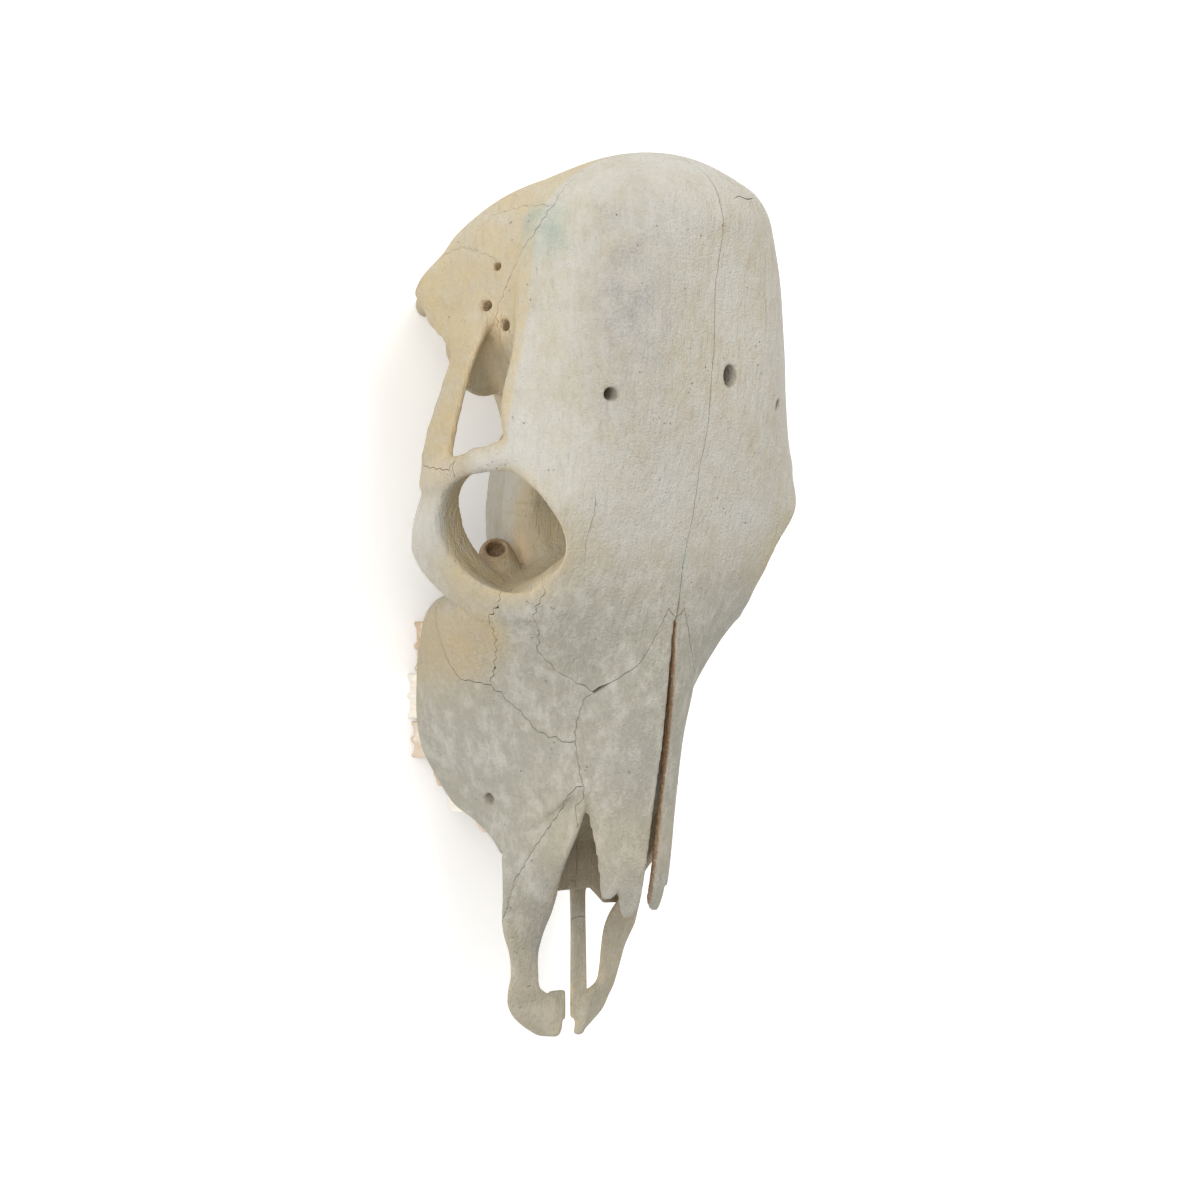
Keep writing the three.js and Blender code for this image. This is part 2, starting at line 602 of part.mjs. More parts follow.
// A prism over an outline: side view outlines (y, z) run along X, top view outlines (x, y) run along Z
function prism(outline, from, to, view) {
  const shape = new THREE.Shape(outline.map(([u, v]) => new THREE.Vector2(u, v)));
  const geometry = new THREE.ExtrudeGeometry(shape, { depth: to - from, bevelEnabled: false });
  geometry.translate(0, 0, from);
  if (view === 'side') {
    geometry.applyMatrix4(new THREE.Matrix4().set(0, 0, 1, 0, 1, 0, 0, 0, 0, 1, 0, 0, 0, 0, 0, 1));
  }
  return solidFromGeometry(geometry);
}

// The same outline moved outwards by a distance
function widen(outline, distance) {
  const area = THREE.ShapeUtils.area(outline.map(([u, v]) => new THREE.Vector2(u, v)));
  const turn = area > 0 ? 1 : -1;
  const n = outline.length;
  const normal = (p, q) => {
    const size = Math.hypot(q[0] - p[0], q[1] - p[1]);
    return [((q[1] - p[1]) / size) * turn, (-(q[0] - p[0]) / size) * turn];
  };
  return outline.map((p, i) => {
    const before = normal(outline[(i + n - 1) % n], p);
    const after = normal(p, outline[(i + 1) % n]);
    const scale = distance / Math.max(0.35, 1 + before[0] * after[0] + before[1] * after[1]);
    return [p[0] + (before[0] + after[0]) * scale, p[1] + (before[1] + after[1]) * scale];
  });
}

// Sutures: outline of each bone seen from the side (y, z) or from the top (x, y), and its half width range
const FAR = 130;
const SUTURES = [
  { name: 'nasal', view: 'top', range: [97, 220],
    outline: [[0, 55], [0, 212], [5, 217], [13, 199], [18, 190], [28, 181], [34, 174], [34, 153], [29.5, 124], [24, 92], [21, 55]] },
  { name: 'frontal', view: 'side', range: [0, FAR],
    outline: [[172, 116], [186, 104], [197, 99], [212, 108], [226, 118], [236, 113], [246, 103], [258, 95], [276, 92],
      [292, 94], [303, 98], [322, 96], [345, 92], [362, 95], [378, 105], [389, 117], [398, 123], [410, 126],
      [423, 124.5], [431, 121.5], [455, 120], [455, 210], [168, 210]] },
  { name: 'incisive', view: 'side', range: [0, FAR],
    outline: [[-15, 20], [-15, 112], [131, 112], [131, 99], [118, 88], [98, 72], [84, 62], [70, 58], [48, 46], [40, 20]] },
  { name: 'lacrimal', view: 'side', range: [26, FAR],
    outline: [[150, 126], [153, 98], [158, 86], [172, 77], [181, 70], [198, 80], [212, 84], [222, 95], [236, 99],
      [246, 106], [246, 126]] },
  { name: 'zygomatic', view: 'side', range: [46, FAR],
    outline: [[181, 70], [184, 54], [193, 49], [211, 42], [226, 36], [300, 36], [309, 66], [286, 70], [283, 91],
      [294, 97], [262, 98], [250, 109], [236, 99], [222, 95], [212, 84], [198, 80]] },
  { name: 'temporal', view: 'side', range: [31, FAR],
    outline: [[270, 62], [270, 97], [303, 99], [318, 97], [350, 97], [386, 92], [393, 72], [388, 54], [368, 46],
      [366, 10], [332, 10], [330, 44], [316, 52]] },
  { name: 'parietal', view: 'side', range: [0, FAR], whole: true,
    outline: [[300, 84], [300, 126], [407, 130], [409, 118], [410, 104], [407, 88], [398, 80], [386, 80],
      [350, 84], [330, 84]] },
  { name: 'occipital', view: 'side', range: [0, FAR], whole: true,
    outline: [[338, -10], [338, 96], [470, 135], [470, -10]] },
  { name: 'sphenoid', view: 'side', range: [0, FAR], whole: true,
    outline: [[266, -10], [266, 99], [345, 99], [345, -10]] },
  { name: 'palatine', view: 'side', range: [0, 50],
    outline: [[222, -10], [226, 40], [216, 60], [206, 90], [206, 112], [275, 112], [275, -10]] },
  { name: 'maxilla', view: 'side', range: [0, FAR],
    outline: [[30, -10], [30, 130], [260, 130], [260, -10]] },
];

// Teeth: a body of two lobes with its root sunk in the jaw, tapered a little towards the crown
function toothOutline(tooth) {
  const points = [];
  const steps = 12;
  const lobes = tooth.name.startsWith('m') ? 2 : 1;
  for (let i = 0; i < steps; i += 1) {
    const angle = (2 * Math.PI * i) / steps;
    const waist = 1 - 0.1 * (lobes === 2 ? Math.cos(2 * angle) ** 2 * Math.abs(Math.sin(angle)) ** 4 * 2 : 0);
    const round = 0.96 + 0.08 * Math.sin(2 * angle) ** 2;
    points.push([Math.sin(angle) * 0.5 * tooth.width * waist * round, Math.cos(angle) * 0.5 * tooth.length * round]);
  }
  return points;
}

function toothSolid(tooth, sign) {
  const rootHeight = 30;
  const shape = new THREE.Shape(toothOutline(tooth).map(([u, v]) => new THREE.Vector2(u, v)));
  const geometry = new THREE.ExtrudeGeometry(shape, { depth: rootHeight, bevelEnabled: false });
  geometry.translate(sign * (tooth.out - tooth.width / 2), tooth.y, Math.max(tooth.tip, FLOOR));
  return solidFromGeometry(geometry);
}

function drill(from, to, radius) {
  const path = new THREE.LineCurve3(new THREE.Vector3(...from), new THREE.Vector3(...to));
  const shape = new THREE.Shape();
  shape.absarc(0, 0, radius, 0, Math.PI * 2);
  return solidFromGeometry(new THREE.ExtrudeGeometry(shape, { steps: 1, curveSegments: 4, extrudePath: path }));
}

// Openings in the bone: place outside, place inside, radius
const HOLES = [
  { name: 'supraorbital right', from: [-56, 316, 156], to: [-50, 321, 132], radius: 2.6 },
  { name: 'supraorbital left', from: [56, 316, 156], to: [50, 321, 132], radius: 2.6 },
  { name: 'shot hole', from: [12, 329, 172], to: [11, 331, 140], radius: 4 },
  { name: 'infraorbital right', from: [-60, 120, 49], to: [-38, 138, 54], radius: 3.4 },
  { name: 'infraorbital left', from: [60, 120, 49], to: [38, 138, 54], radius: 3.4 },
];

const wholeMesh = simplify(meshField(sampleField()), BONE_TRIANGLES);
let remains = solidFromMesh(wholeMesh);
for (const tooth of TOOTH_ROW) {
  for (const sign of [-1, 1]) remains = remains.add(toothSolid(tooth, sign));
}
for (const hole of HOLES) remains = remains.subtract(drill(hole.from, hole.to, hole.radius));
remains = remains.subtract(prism([[-200, -20], [-200, 600], [200, 600], [200, -20]], -60, FLOOR, 'top'));

// Materials: weathered bone in slightly different tones
const BONE_TONES = {
  frontal: 0xd9d2c3, nasal: 0xdcd5c6, maxilla: 0xd6cdb8, incisive: 0xd8cdb4, lacrimal: 0xd8cfba,
  zygomatic: 0xcdbd9a, temporal: 0xcdbc97, parietal: 0xd3c8ac, occipital: 0xcfc2a2, sphenoid: 0xc9b991, palatine: 0xcbbc98,
};

function largest(solid) {
  return solid.decompose().reduce((best, one) => (best === null || one.volume() > best.volume() ? one : best), null);
}

// Corners of the surface that touch each other are drawn a little into the bone, so that none is shared
function partTouching(positions, triangles) {
  const groups = new Map();
  for (let v = 0; v < positions.length / 3; v += 1) {
    const key = [0, 1, 2].map((c) => Math.round(positions[3 * v + c] / WELD)).join(',');
    groups.set(key, [...(groups.get(key) ?? []), v]);
  }
  const touching = new Set([...groups.values()].filter((group) => group.length > 1).flat());
  const normals = new Map([...touching].map((v) => [v, [0, 0, 0]]));
  const corner = (v) => [positions[3 * v], positions[3 * v + 1], positions[3 * v + 2]];
  for (let t = 0; t < triangles.length; t += 3) {
    const ids = [triangles[t], triangles[t + 1], triangles[t + 2]];
    if (!ids.some((v) => touching.has(v))) continue;
    const n = faceNormal(ids.map(corner), [0, 1, 2]);
    const size = Math.hypot(...n) || 1;
    for (const v of ids) if (normals.has(v)) for (let c = 0; c < 3; c += 1) normals.get(v)[c] += n[c] / size;
  }
  for (const [v, n] of normals) {
    const size = Math.hypot(...n) || 1;
    for (let c = 0; c < 3; c += 1) positions[3 * v + c] -= (2 * WELD * n[c]) / size;
  }
  return positions;
}

function meshOf(solid, name, tone) {
  const raw = solid.getMesh();
  const geometry = new THREE.BufferGeometry();
  const positions = partTouching(raw.vertProperties.slice(), raw.triVerts);
  geometry.setAttribute('position', new THREE.BufferAttribute(positions, 3));
  geometry.setIndex(new THREE.BufferAttribute(raw.triVerts.slice(), 1));
  geometry.computeVertexNormals();
  const material = new THREE.MeshStandardMaterial({ color: tone, roughness: 0.72, metalness: 0 });
  const mesh = new THREE.Mesh(geometry, material);
  mesh.name = name;
  return mesh;
}

// The side of the head: one prism on each side of the midline
function sidePrism(bone, sign, growth) {
  const outline = growth > 0 ? widen(bone.outline, growth) : bone.outline;
  const low = bone.range[0] === 0 ? SUTURE_GAP / 2 : bone.range[0];
  if (bone.view === 'top') {
    const half = outline.map(([u, v]) => [sign * Math.max(u, growth > 0 ? -1 : SUTURE_GAP / 2), v]);
    return prism(half, bone.range[0] - growth, bone.range[1], 'top');
  }
  const near = low - (growth > 0 ? Math.min(growth, low) : 0);
  const span = sign > 0 ? [near, bone.range[1]] : [-bone.range[1], -near];
  return prism(outline, span[0], span[1], 'side');
}

// The origin lies on the floor under the middle of the skull
const skull = new THREE.Group();
skull.position.y = -MIDDLE_Y;
for (const bone of SUTURES) {
  if (bone.whole) {
    const piece = remains.intersect(prism(bone.outline, -FAR, FAR, bone.view));
    skull.add(meshOf(largest(piece), bone.name, BONE_TONES[bone.name]));
    remains = remains.subtract(prism(widen(bone.outline, SUTURE_GAP), -FAR, FAR, bone.view));
    continue;
  }
  for (const [side, sign] of [['right', -1], ['left', 1]]) {
    const piece = remains.intersect(sidePrism(bone, sign, 0));
    skull.add(meshOf(largest(piece), `${bone.name}_${side}`, BONE_TONES[bone.name]));
  }
  for (const sign of [-1, 1]) remains = remains.subtract(sidePrism(bone, sign, SUTURE_GAP));
}

export default skull;
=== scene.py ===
"""A weathered, hornless cow skull without its lower jaw, lying on a pale floor.

The bone is sculpted as distances on a fine grid, given a surface, and parted along its sutures.
Lengths in the sculpting are millimetres: X to the animal's left, Y to the back of the head, Z up.
"""

import logging
import math
from collections.abc import Callable
from dataclasses import dataclass
from enum import Enum

import bmesh
import bpy
import numpy as np
import openvdb
from mathutils import Matrix, Vector


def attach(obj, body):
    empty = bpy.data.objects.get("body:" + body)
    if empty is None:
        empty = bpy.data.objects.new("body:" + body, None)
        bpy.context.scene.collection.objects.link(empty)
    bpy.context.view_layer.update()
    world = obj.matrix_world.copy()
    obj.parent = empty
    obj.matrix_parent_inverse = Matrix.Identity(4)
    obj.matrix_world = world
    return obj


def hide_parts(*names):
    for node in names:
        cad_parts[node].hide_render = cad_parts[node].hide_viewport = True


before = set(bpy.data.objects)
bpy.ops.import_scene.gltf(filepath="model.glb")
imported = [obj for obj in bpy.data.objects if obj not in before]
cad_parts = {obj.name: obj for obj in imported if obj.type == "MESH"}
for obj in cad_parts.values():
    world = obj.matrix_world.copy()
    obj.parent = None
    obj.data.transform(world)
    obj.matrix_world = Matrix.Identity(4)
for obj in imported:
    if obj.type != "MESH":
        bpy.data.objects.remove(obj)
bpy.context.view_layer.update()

log = logging.getLogger("cow skull")

MM = 0.001
MIDDLE_Y = 222.6
STEP = 1.2
BAND = 6.0
SUTURE_GAP = 0.36
FAR = 130.0
SEED = 41

# The block of space that holds one half of the head, and the stretch where face and braincase meet
WIDE, FRONT, REAR, BELOW, ABOVE = 110, -5, 448, -5, 182
BROW = (222, 246)
SHARP = 0.1
LUMP = 0.28
FLOOR_GAP = 0.3

Row = tuple[float, ...]
Stations = tuple[Row, ...]
Values = np.ndarray | float


class Side(Enum):
    """One side of the head, as the sign of X."""

    RIGHT = -1
    LEFT = 1

    @property
    def word(self) -> str:
        """The side's name as used in node names."""
        return self.name.lower()


# Distances


@dataclass
class Space:
    """Coordinates of a block of grid points, ready to be broadcast against each other."""

    x: np.ndarray
    y: np.ndarray
    z: np.ndarray

    @property
    def a(self) -> np.ndarray:
        """How far from the midline, on either side."""
        return np.abs(self.x)

    @property
    def half(self) -> tuple:
        """The point with its distance from the midline in place of X."""
        return self.a, self.y, self.z


Shape = Callable[[Space], Values]


def join(a: Values, b: Values, blend: float) -> Values:
    """Joins two shapes with a soft crease.

    Args:
        a: Distance to one shape.
        b: Distance to the other shape.
        blend: Width of the soft crease in mm.

    Returns:
        Distance to both shapes together.
    """
    h = np.clip(0.5 + 0.5 * (b - a) / blend, 0, 1)
    return b + (a - b) * h - blend * h * (1 - h)


def overlap(a: Values, b: Values, blend: float) -> Values:
    """What two shapes have in common, with a rounded edge."""
    return -join(-a, -b, blend)


def curve(t: Values, stations: Row, values: Row) -> np.ndarray:
    """A smooth curve through stations, flat outside them.

    Args:
        t: Where the curve is read.
        stations: Places of its points, rising.
        values: Its value at each of them.

    Returns:
        The values at t.
    """
    ts = np.asarray(stations, np.float32)
    vs = np.asarray(values, np.float32)
    slope = np.empty_like(vs)
    slope[1:-1] = (vs[2:] - vs[:-2]) / (ts[2:] - ts[:-2])
    slope[0] = (vs[1] - vs[0]) / (ts[1] - ts[0])
    slope[-1] = (vs[-1] - vs[-2]) / (ts[-1] - ts[-2])
    u = np.clip(t, ts[0], ts[-1])
    i = np.clip(np.searchsorted(ts, u, side="right") - 1, 0, len(ts) - 2)
    h = ts[i + 1] - ts[i]
    s = (u - ts[i]) / h
    low = (2 * s**3 - 3 * s**2 + 1) * vs[i] + (s**3 - 2 * s**2 + s) * h * slope[i]
    high = (3 * s**2 - 2 * s**3) * vs[i + 1] + (s**3 - s**2) * h * slope[i + 1]
    return (low + high).astype(np.float32)


def rise(value: Values, low: float, high: float) -> Values:
    """A smooth step from 0 at low to 1 at high."""
    t = np.clip((value - low) / (high - low), 0, 1)
    return t * t * (3 - 2 * t)


def blended(y: Values, low: float, high: float, before: Values, after: Values) -> Values:
    """Turns smoothly from one shape to another between two stations."""
    t = rise(y, low, high)
    return before * (1 - t) + after * t


def ellipsoid(p: tuple, centre: Row, radii: Row) -> Values:
    """Distance to an ellipsoid, from its centre and its three radii.

    Args:
        p: The grid's coordinates.
        centre: Its centre.
        radii: Its three radii.

    Returns:
        The distance, negative inside.
    """
    q = [(p[i] - centre[i]) / radii[i] for i in range(3)]
    k0 = np.sqrt(q[0] ** 2 + q[1] ** 2 + q[2] ** 2)
    k1 = np.sqrt(sum((q[i] / radii[i]) ** 2 for i in range(3))) + 1e-6
    return k0 * (k0 - 1) / k1


def bar(
    p: tuple, start: Row, end: Row, radius_start: float, radius_end: float, scale: Row = (1, 1, 1)
) -> Values:
    """Distance to a tapered bar between two points.

    Args:
        p: The grid's coordinates.
        start: One end.
        end: The other end.
        radius_start: Radius at the start.
        radius_end: Radius at the end.
        scale: How the space is stretched, which flattens the bar.

    Returns:
        The distance, negative inside.
    """
    low = np.multiply(start, scale)
    d = np.multiply(end, scale) - low
    q = [p[i] * scale[i] - low[i] for i in range(3)]
    h = np.clip((q[0] * d[0] + q[1] * d[1] + q[2] * d[2]) / (d @ d), 0, 1)
    away = np.sqrt(sum((q[i] - h * d[i]) ** 2 for i in range(3)))
    return away - (radius_start + (radius_end - radius_start) * h)


def facet(p: tuple, corners: Stations, inner: Row) -> Values:
    """Distance to the plane through three corners.

    Args:
        p: The grid's coordinates.
        corners: Three points of the plane.
        inner: A point on the side that counts as inside.

    Returns:
        The distance, negative on the side of the inner point.
    """
    first, second, third = (np.array(c, float) for c in corners)
    normal = np.cross(second - first, third - first)
    normal /= np.linalg.norm(normal)
    if normal @ (np.array(inner) - first) > 0:
        normal = -normal
    return sum(normal[i] * (p[i] - first[i]) for i in range(3))


def bars(p: tuple, points: Stations, scale: Row = (1, 1, 1), blend: float = 2.0) -> Values:
    """Distance to a row of tapered bars.

    Args:
        p: The grid's coordinates.
        points: Each x, y, z and radius.
        scale: How the space is stretched, which flattens the bars.
        blend: Width of the soft crease where they meet.

    Returns:
        The distance, negative inside.
    """
    whole = None
    for one, two in zip(points[:-1], points[1:]):
        d = bar(p, one[:3], two[:3], one[3], two[3], scale)
        whole = d if whole is None else join(whole, d, blend)
    return whole


def slice_distance(a: Values, z: Values, outline: list) -> np.ndarray:
    """Distance, within a slice across the head, to a closed half outline.

    Args:
        a: Distance from the midline.
        z: Height.
        outline: Points as (half width, height), each an array along Y, from midline to midline.

    Returns:
        The distance, negative inside.
    """
    padded = [(-outline[1][0], outline[1][1]), *outline, (-outline[-2][0], outline[-2][1])]
    fine = []
    steps = 5
    for i in range(1, len(outline)):
        for j in range(steps):
            t = j / steps
            weights = (
                -0.5 * t**3 + t**2 - 0.5 * t,
                1.5 * t**3 - 2.5 * t**2 + 1,
                -1.5 * t**3 + 2 * t**2 + 0.5 * t,
                0.5 * t**3 - 0.5 * t**2,
            )
            fine.append([sum(w * padded[i - 1 + k][c] for k, w in enumerate(weights)) for c in (0, 1)])
    fine.append(outline[-1])
    nearest = None
    inside = None
    for (x0, z0), (x1, z1) in zip(fine[:-1], fine[1:]):
        dx, dz = x1 - x0, z1 - z0
        h = np.clip(((a - x0) * dx + (z - z0) * dz) / (dx * dx + dz * dz + 1e-6), 0, 1)
        away = (a - x0 - h * dx) ** 2 + (z - z0 - h * dz) ** 2
        nearest = away if nearest is None else np.minimum(nearest, away)
        steep = np.where(np.abs(dz) < 1e-6, 1e-6, dz)
        crossed = ((z0 > z) != (z1 > z)) & (a < x0 + (z - z0) * dx / steep)
        inside = crossed if inside is None else inside ^ crossed
    return np.where(inside, -1, 1) * np.sqrt(nearest)


class Sculpture:
    """Bone as distances on a regular grid, to which shapes are joined and from which they are cut."""

    def __init__(self, low: Row, high: Row, step: float) -> None:
        """An empty grid.

        Args:
            low: Lowest corner.
            high: Highest corner.
            step: Distance between points.
        """
        self.low = np.asarray(low, float)
        self.step = step
        self.counts = [int(round((high[i] - low[i]) / step)) + 1 for i in range(3)]
        self.values = np.full(self.counts, 2 * BAND, np.float32)

    def window(self, low: Row, high: Row) -> tuple[tuple[slice, ...], Space]:
        """The block of grid points between two corners: its slices and its coordinates.

        Args:
            low: Lowest corner.
            high: Highest corner.

        Returns:
            The slices and the coordinates.
        """
        first = [max(0, int((low[i] - self.low[i]) / self.step)) for i in range(3)]
        last = [min(self.counts[i], int((high[i] - self.low[i]) / self.step) + 2) for i in range(3)]
        axes = [
            (self.low[i] + self.step * np.arange(first[i], last[i])).astype(np.float32) for i in range(3)
        ]
        place = tuple(slice(f, l) for f, l in zip(first, last))
        return place, Space(axes[0][:, None, None], axes[1][None, :, None], axes[2][None, None, :])

    def join(self, shape: Shape, low: Row, high: Row, blend: float) -> None:
        """Joins a shape within a window.

        Args:
            shape: Takes the coordinates and gives the distance.
            low: Lowest corner of the window.
            high: Highest corner of the window.
            blend: Width of the soft crease in mm.
        """
        place, space = self.window(low, high)
        self.values[place] = join(self.values[place], shape(space), blend)

    def cut(self, shape: Shape, low: Row, high: Row, blend: float) -> None:
        """Cuts a shape away within a window. The arguments are those of join."""
        place, space = self.window(low, high)
        self.values[place] = overlap(self.values[place], -shape(space), blend)

    def mirrored(self) -> "Sculpture":
        """The whole head from its left half, whose first column of points lies on the midline.

        Returns:
            A sculpture of both halves.
        """
        high = self.low + self.step * (np.array(self.counts) - 1)
        whole = Sculpture([-high[0], self.low[1], self.low[2]], high, self.step)
        whole.values = np.concatenate([self.values[:0:-1], self.values], 0)
        whole.counts = list(whole.values.shape)
        return whole

    def sample(self, points: np.ndarray) -> np.ndarray:
        """Distances at free points, one row each.

        Args:
            points: The points, one row each.

        Returns:
            The distance at each point.
        """
        q = (points - self.low) / self.step
        top = np.array(self.counts) - 2
        i = np.clip(np.floor(q).astype(int), 0, top)
        t = np.clip(q - i, 0, 1)
        total = np.zeros(len(points))
        for corner in range(8):
            bits = np.array([corner & 1, corner >> 1 & 1, corner >> 2 & 1])
            weight = np.prod(np.where(bits, t, 1 - t), 1)
            n = i + bits
            total += weight * self.values[n[:, 0], n[:, 1], n[:, 2]]
        return total

    def slopes(self, points: np.ndarray) -> np.ndarray:
        """Direction in which the distance grows, at free points.

        Args:
            points: The points, one row each.

        Returns:
            A unit vector for each point.
        """
        rows = []
        for axis in np.eye(3) * self.step * 0.75:
            rows.append(self.sample(points + axis) - self.sample(points - axis))
        g = np.stack(rows, 1)
        return g / (np.linalg.norm(g, axis=1, keepdims=True) + 1e-9)

    def surface(self) -> tuple[np.ndarray, list]:
        """Points and faces of the surface where the distance is zero.

        Returns:
            The points, one row each, and the faces.
        """
        grid = openvdb.FloatGrid(BAND)
        grid.copyFromArray(np.clip(self.values, -BAND, BAND))
        points, triangles, quads = grid.convertToPolygons(isovalue=0.0, adaptivity=0.0)
        place = self.low + points * self.step
        for _ in range(2):
            g = self.slopes(place)
            shift = np.clip(self.sample(place), -0.4 * self.step, 0.4 * self.step)
            place = place - 0.8 * shift[:, None] * g
        return place, triangles.tolist() + quads.tolist()


# The parts of the skull

TOP_LINE: Stations = (
    (60, 78, 116, 173, 208, 241, 269, 305, 324, 364, 390, 408, 425),
    (107, 113.5, 121.3, 131.4, 135.1, 142.3, 149.4, 159, 162.4, 165.5, 169.5, 172.5, 173),
)


def lofted(space: Space, stations: Row, lines: tuple) -> np.ndarray:
    """Distance to a body whose half outline across the head follows lengthwise lines.

    Args:
        space: The grid's coordinates.
        stations: Places along Y.
        lines: Half widths and heights at the stations, line by line, from the top to the bottom.

    Returns:
        The distance, negative inside.
    """
    y = space.y
    outline = [(0 * y, curve(y, *TOP_LINE))]
    for widths, heights in lines:
        outline.append((curve(y, stations, widths), curve(y, stations, heights)))
    return slice_distance(space.a, space.z, outline)


@dataclass(frozen=True)
class Face:
    """The upper jaw with its palate, and the hollow nose behind the opening."""

    stations: tuple = (94, 103, 112, 121, 135, 148, 162, 180, 200, 220, 238)
    palate: tuple = (57, 54, 50, 46, 42, 38, 36, 33, 33, 38, 48)
    nasal_edge: Stations = (
        (24, 26, 28, 29.5, 31, 32, 33, 34, 40, 48, 58),
        (106, 105, 104, 103, 102, 102, 103, 111, 120, 127, 132),
    )
    upper_side: Stations = (
        (35, 36.5, 38, 40, 43, 45.5, 48.5, 52, 59, 69, 66),
        (86, 85, 84, 83, 82, 82, 83.5, 90, 99, 111, 119),
    )
    crest: Stations = (
        (43, 44.5, 46, 49, 54, 59, 63.5, 69, 74, 76, 60),
        (64, 60, 56, 51, 47, 44, 43, 48, 54, 58, 72),
    )
    tooth_margin: Stations = (
        (43, 43, 44, 48.5, 55, 61.5, 63.5, 63, 61, 57, 46),
        (54.5, 47, 35, 22, 16, 14, 12.5, 11.5, 11.5, 16, 42),
    )
    inner_margin: Stations = (
        (28, 28, 28.5, 30, 33, 36, 38, 39, 39, 37, 30),
        (51, 45, 36, 27, 22, 21, 21, 21, 22, 25, 44),
    )
    wall: float = 6.0

    def outside(self, s: Space) -> Values:
        """The face without its hollow, cut slantwise at the nose opening.

        Args:
            s: The grid's coordinates.

        Returns:
            The distance, negative inside.
        """
        middle = ((0,) * len(self.palate), self.palate)
        lines = (self.nasal_edge, self.upper_side, self.crest, self.tooth_margin, self.inner_margin, middle)
        opening = 98 + (s.z - 55) * 0.66
        body = lofted(s, self.stations, lines)
        return overlap(body, opening - s.y, 2)

    def hollow(self, s: Space) -> Values:
        """The space of the nose.

        Args:
            s: The grid's coordinates.

        Returns:
            The distance, negative inside.
        """
        inside = overlap(self.outside(s) + self.wall, s.y - 196, 8)
        floor = curve(s.y, self.stations, self.palate) + 8
        inside = overlap(inside, floor - s.z, 5)
        inside = overlap(inside, -overlap(38 - s.a, s.z - 48, 4), 4)
        return overlap(inside, 86 + (s.z - 55) * 0.66 - s.y, 1)


@dataclass(frozen=True)
class NasalBones:
    """Two arched plates over the nose, each with two points, that part towards the front."""

    edge_stations: tuple = (60, 92, 124, 153, 174, 208)
    edge_width: tuple = (19, 22.3, 28.2, 32.8, 33, 33)
    edge_height: tuple = (102, 106, 103.4, 101.7, 110.5, 121)
    thickness: float = 4.4
    gap: Stations = ((60, 90, 116, 150, 180, 210), (3, 2.5, 2.1, 1.6, 1.0, 0.25))
    right_tips: tuple = ((8, 66, 0.1), (18, 75, 0.35))
    left_tips: tuple = ((10.5, 69, 0.1), (19, 80, 0.35))

    @staticmethod
    def points(a: Values, tips: Stations) -> Values:
        """How far forward the plate reaches at each distance from the midline."""
        reach = [y + np.where(a > at, 0.4, inward) * (a - at) ** 2 for at, y, inward in tips]
        return np.minimum(*reach)

    def plate(self, s: Space) -> Values:
        """The plates of both sides.

        Args:
            s: The grid's coordinates.

        Returns:
            The distance, negative inside.
        """
        width = curve(s.y, self.edge_stations, self.edge_width)
        low = curve(s.y, self.edge_stations, self.edge_height)
        top = curve(s.y, *TOP_LINE)
        spread = (top - low) / width**2
        height = (s.z - top + spread * s.a**2) / np.sqrt(1 + (2 * spread * s.a) ** 2)
        plate = np.abs(height + self.thickness / 2) - self.thickness / 2
        right, left = self.points(s.a, self.right_tips), self.points(s.a, self.left_tips)
        front = np.where(s.x < 0, right, left)
        plate = overlap(overlap(plate, (front - s.y) * 0.7, 1.2), s.a - width, 1.5)
        return overlap(plate, s.y - 200, 2)

    def slot(self, s: Space) -> Values:
        """The narrow gap between the plates."""
        half = curve(s.y, *self.gap)
        return overlap(overlap(s.a - half, 99 - s.z, 1), s.y - 212, 1)


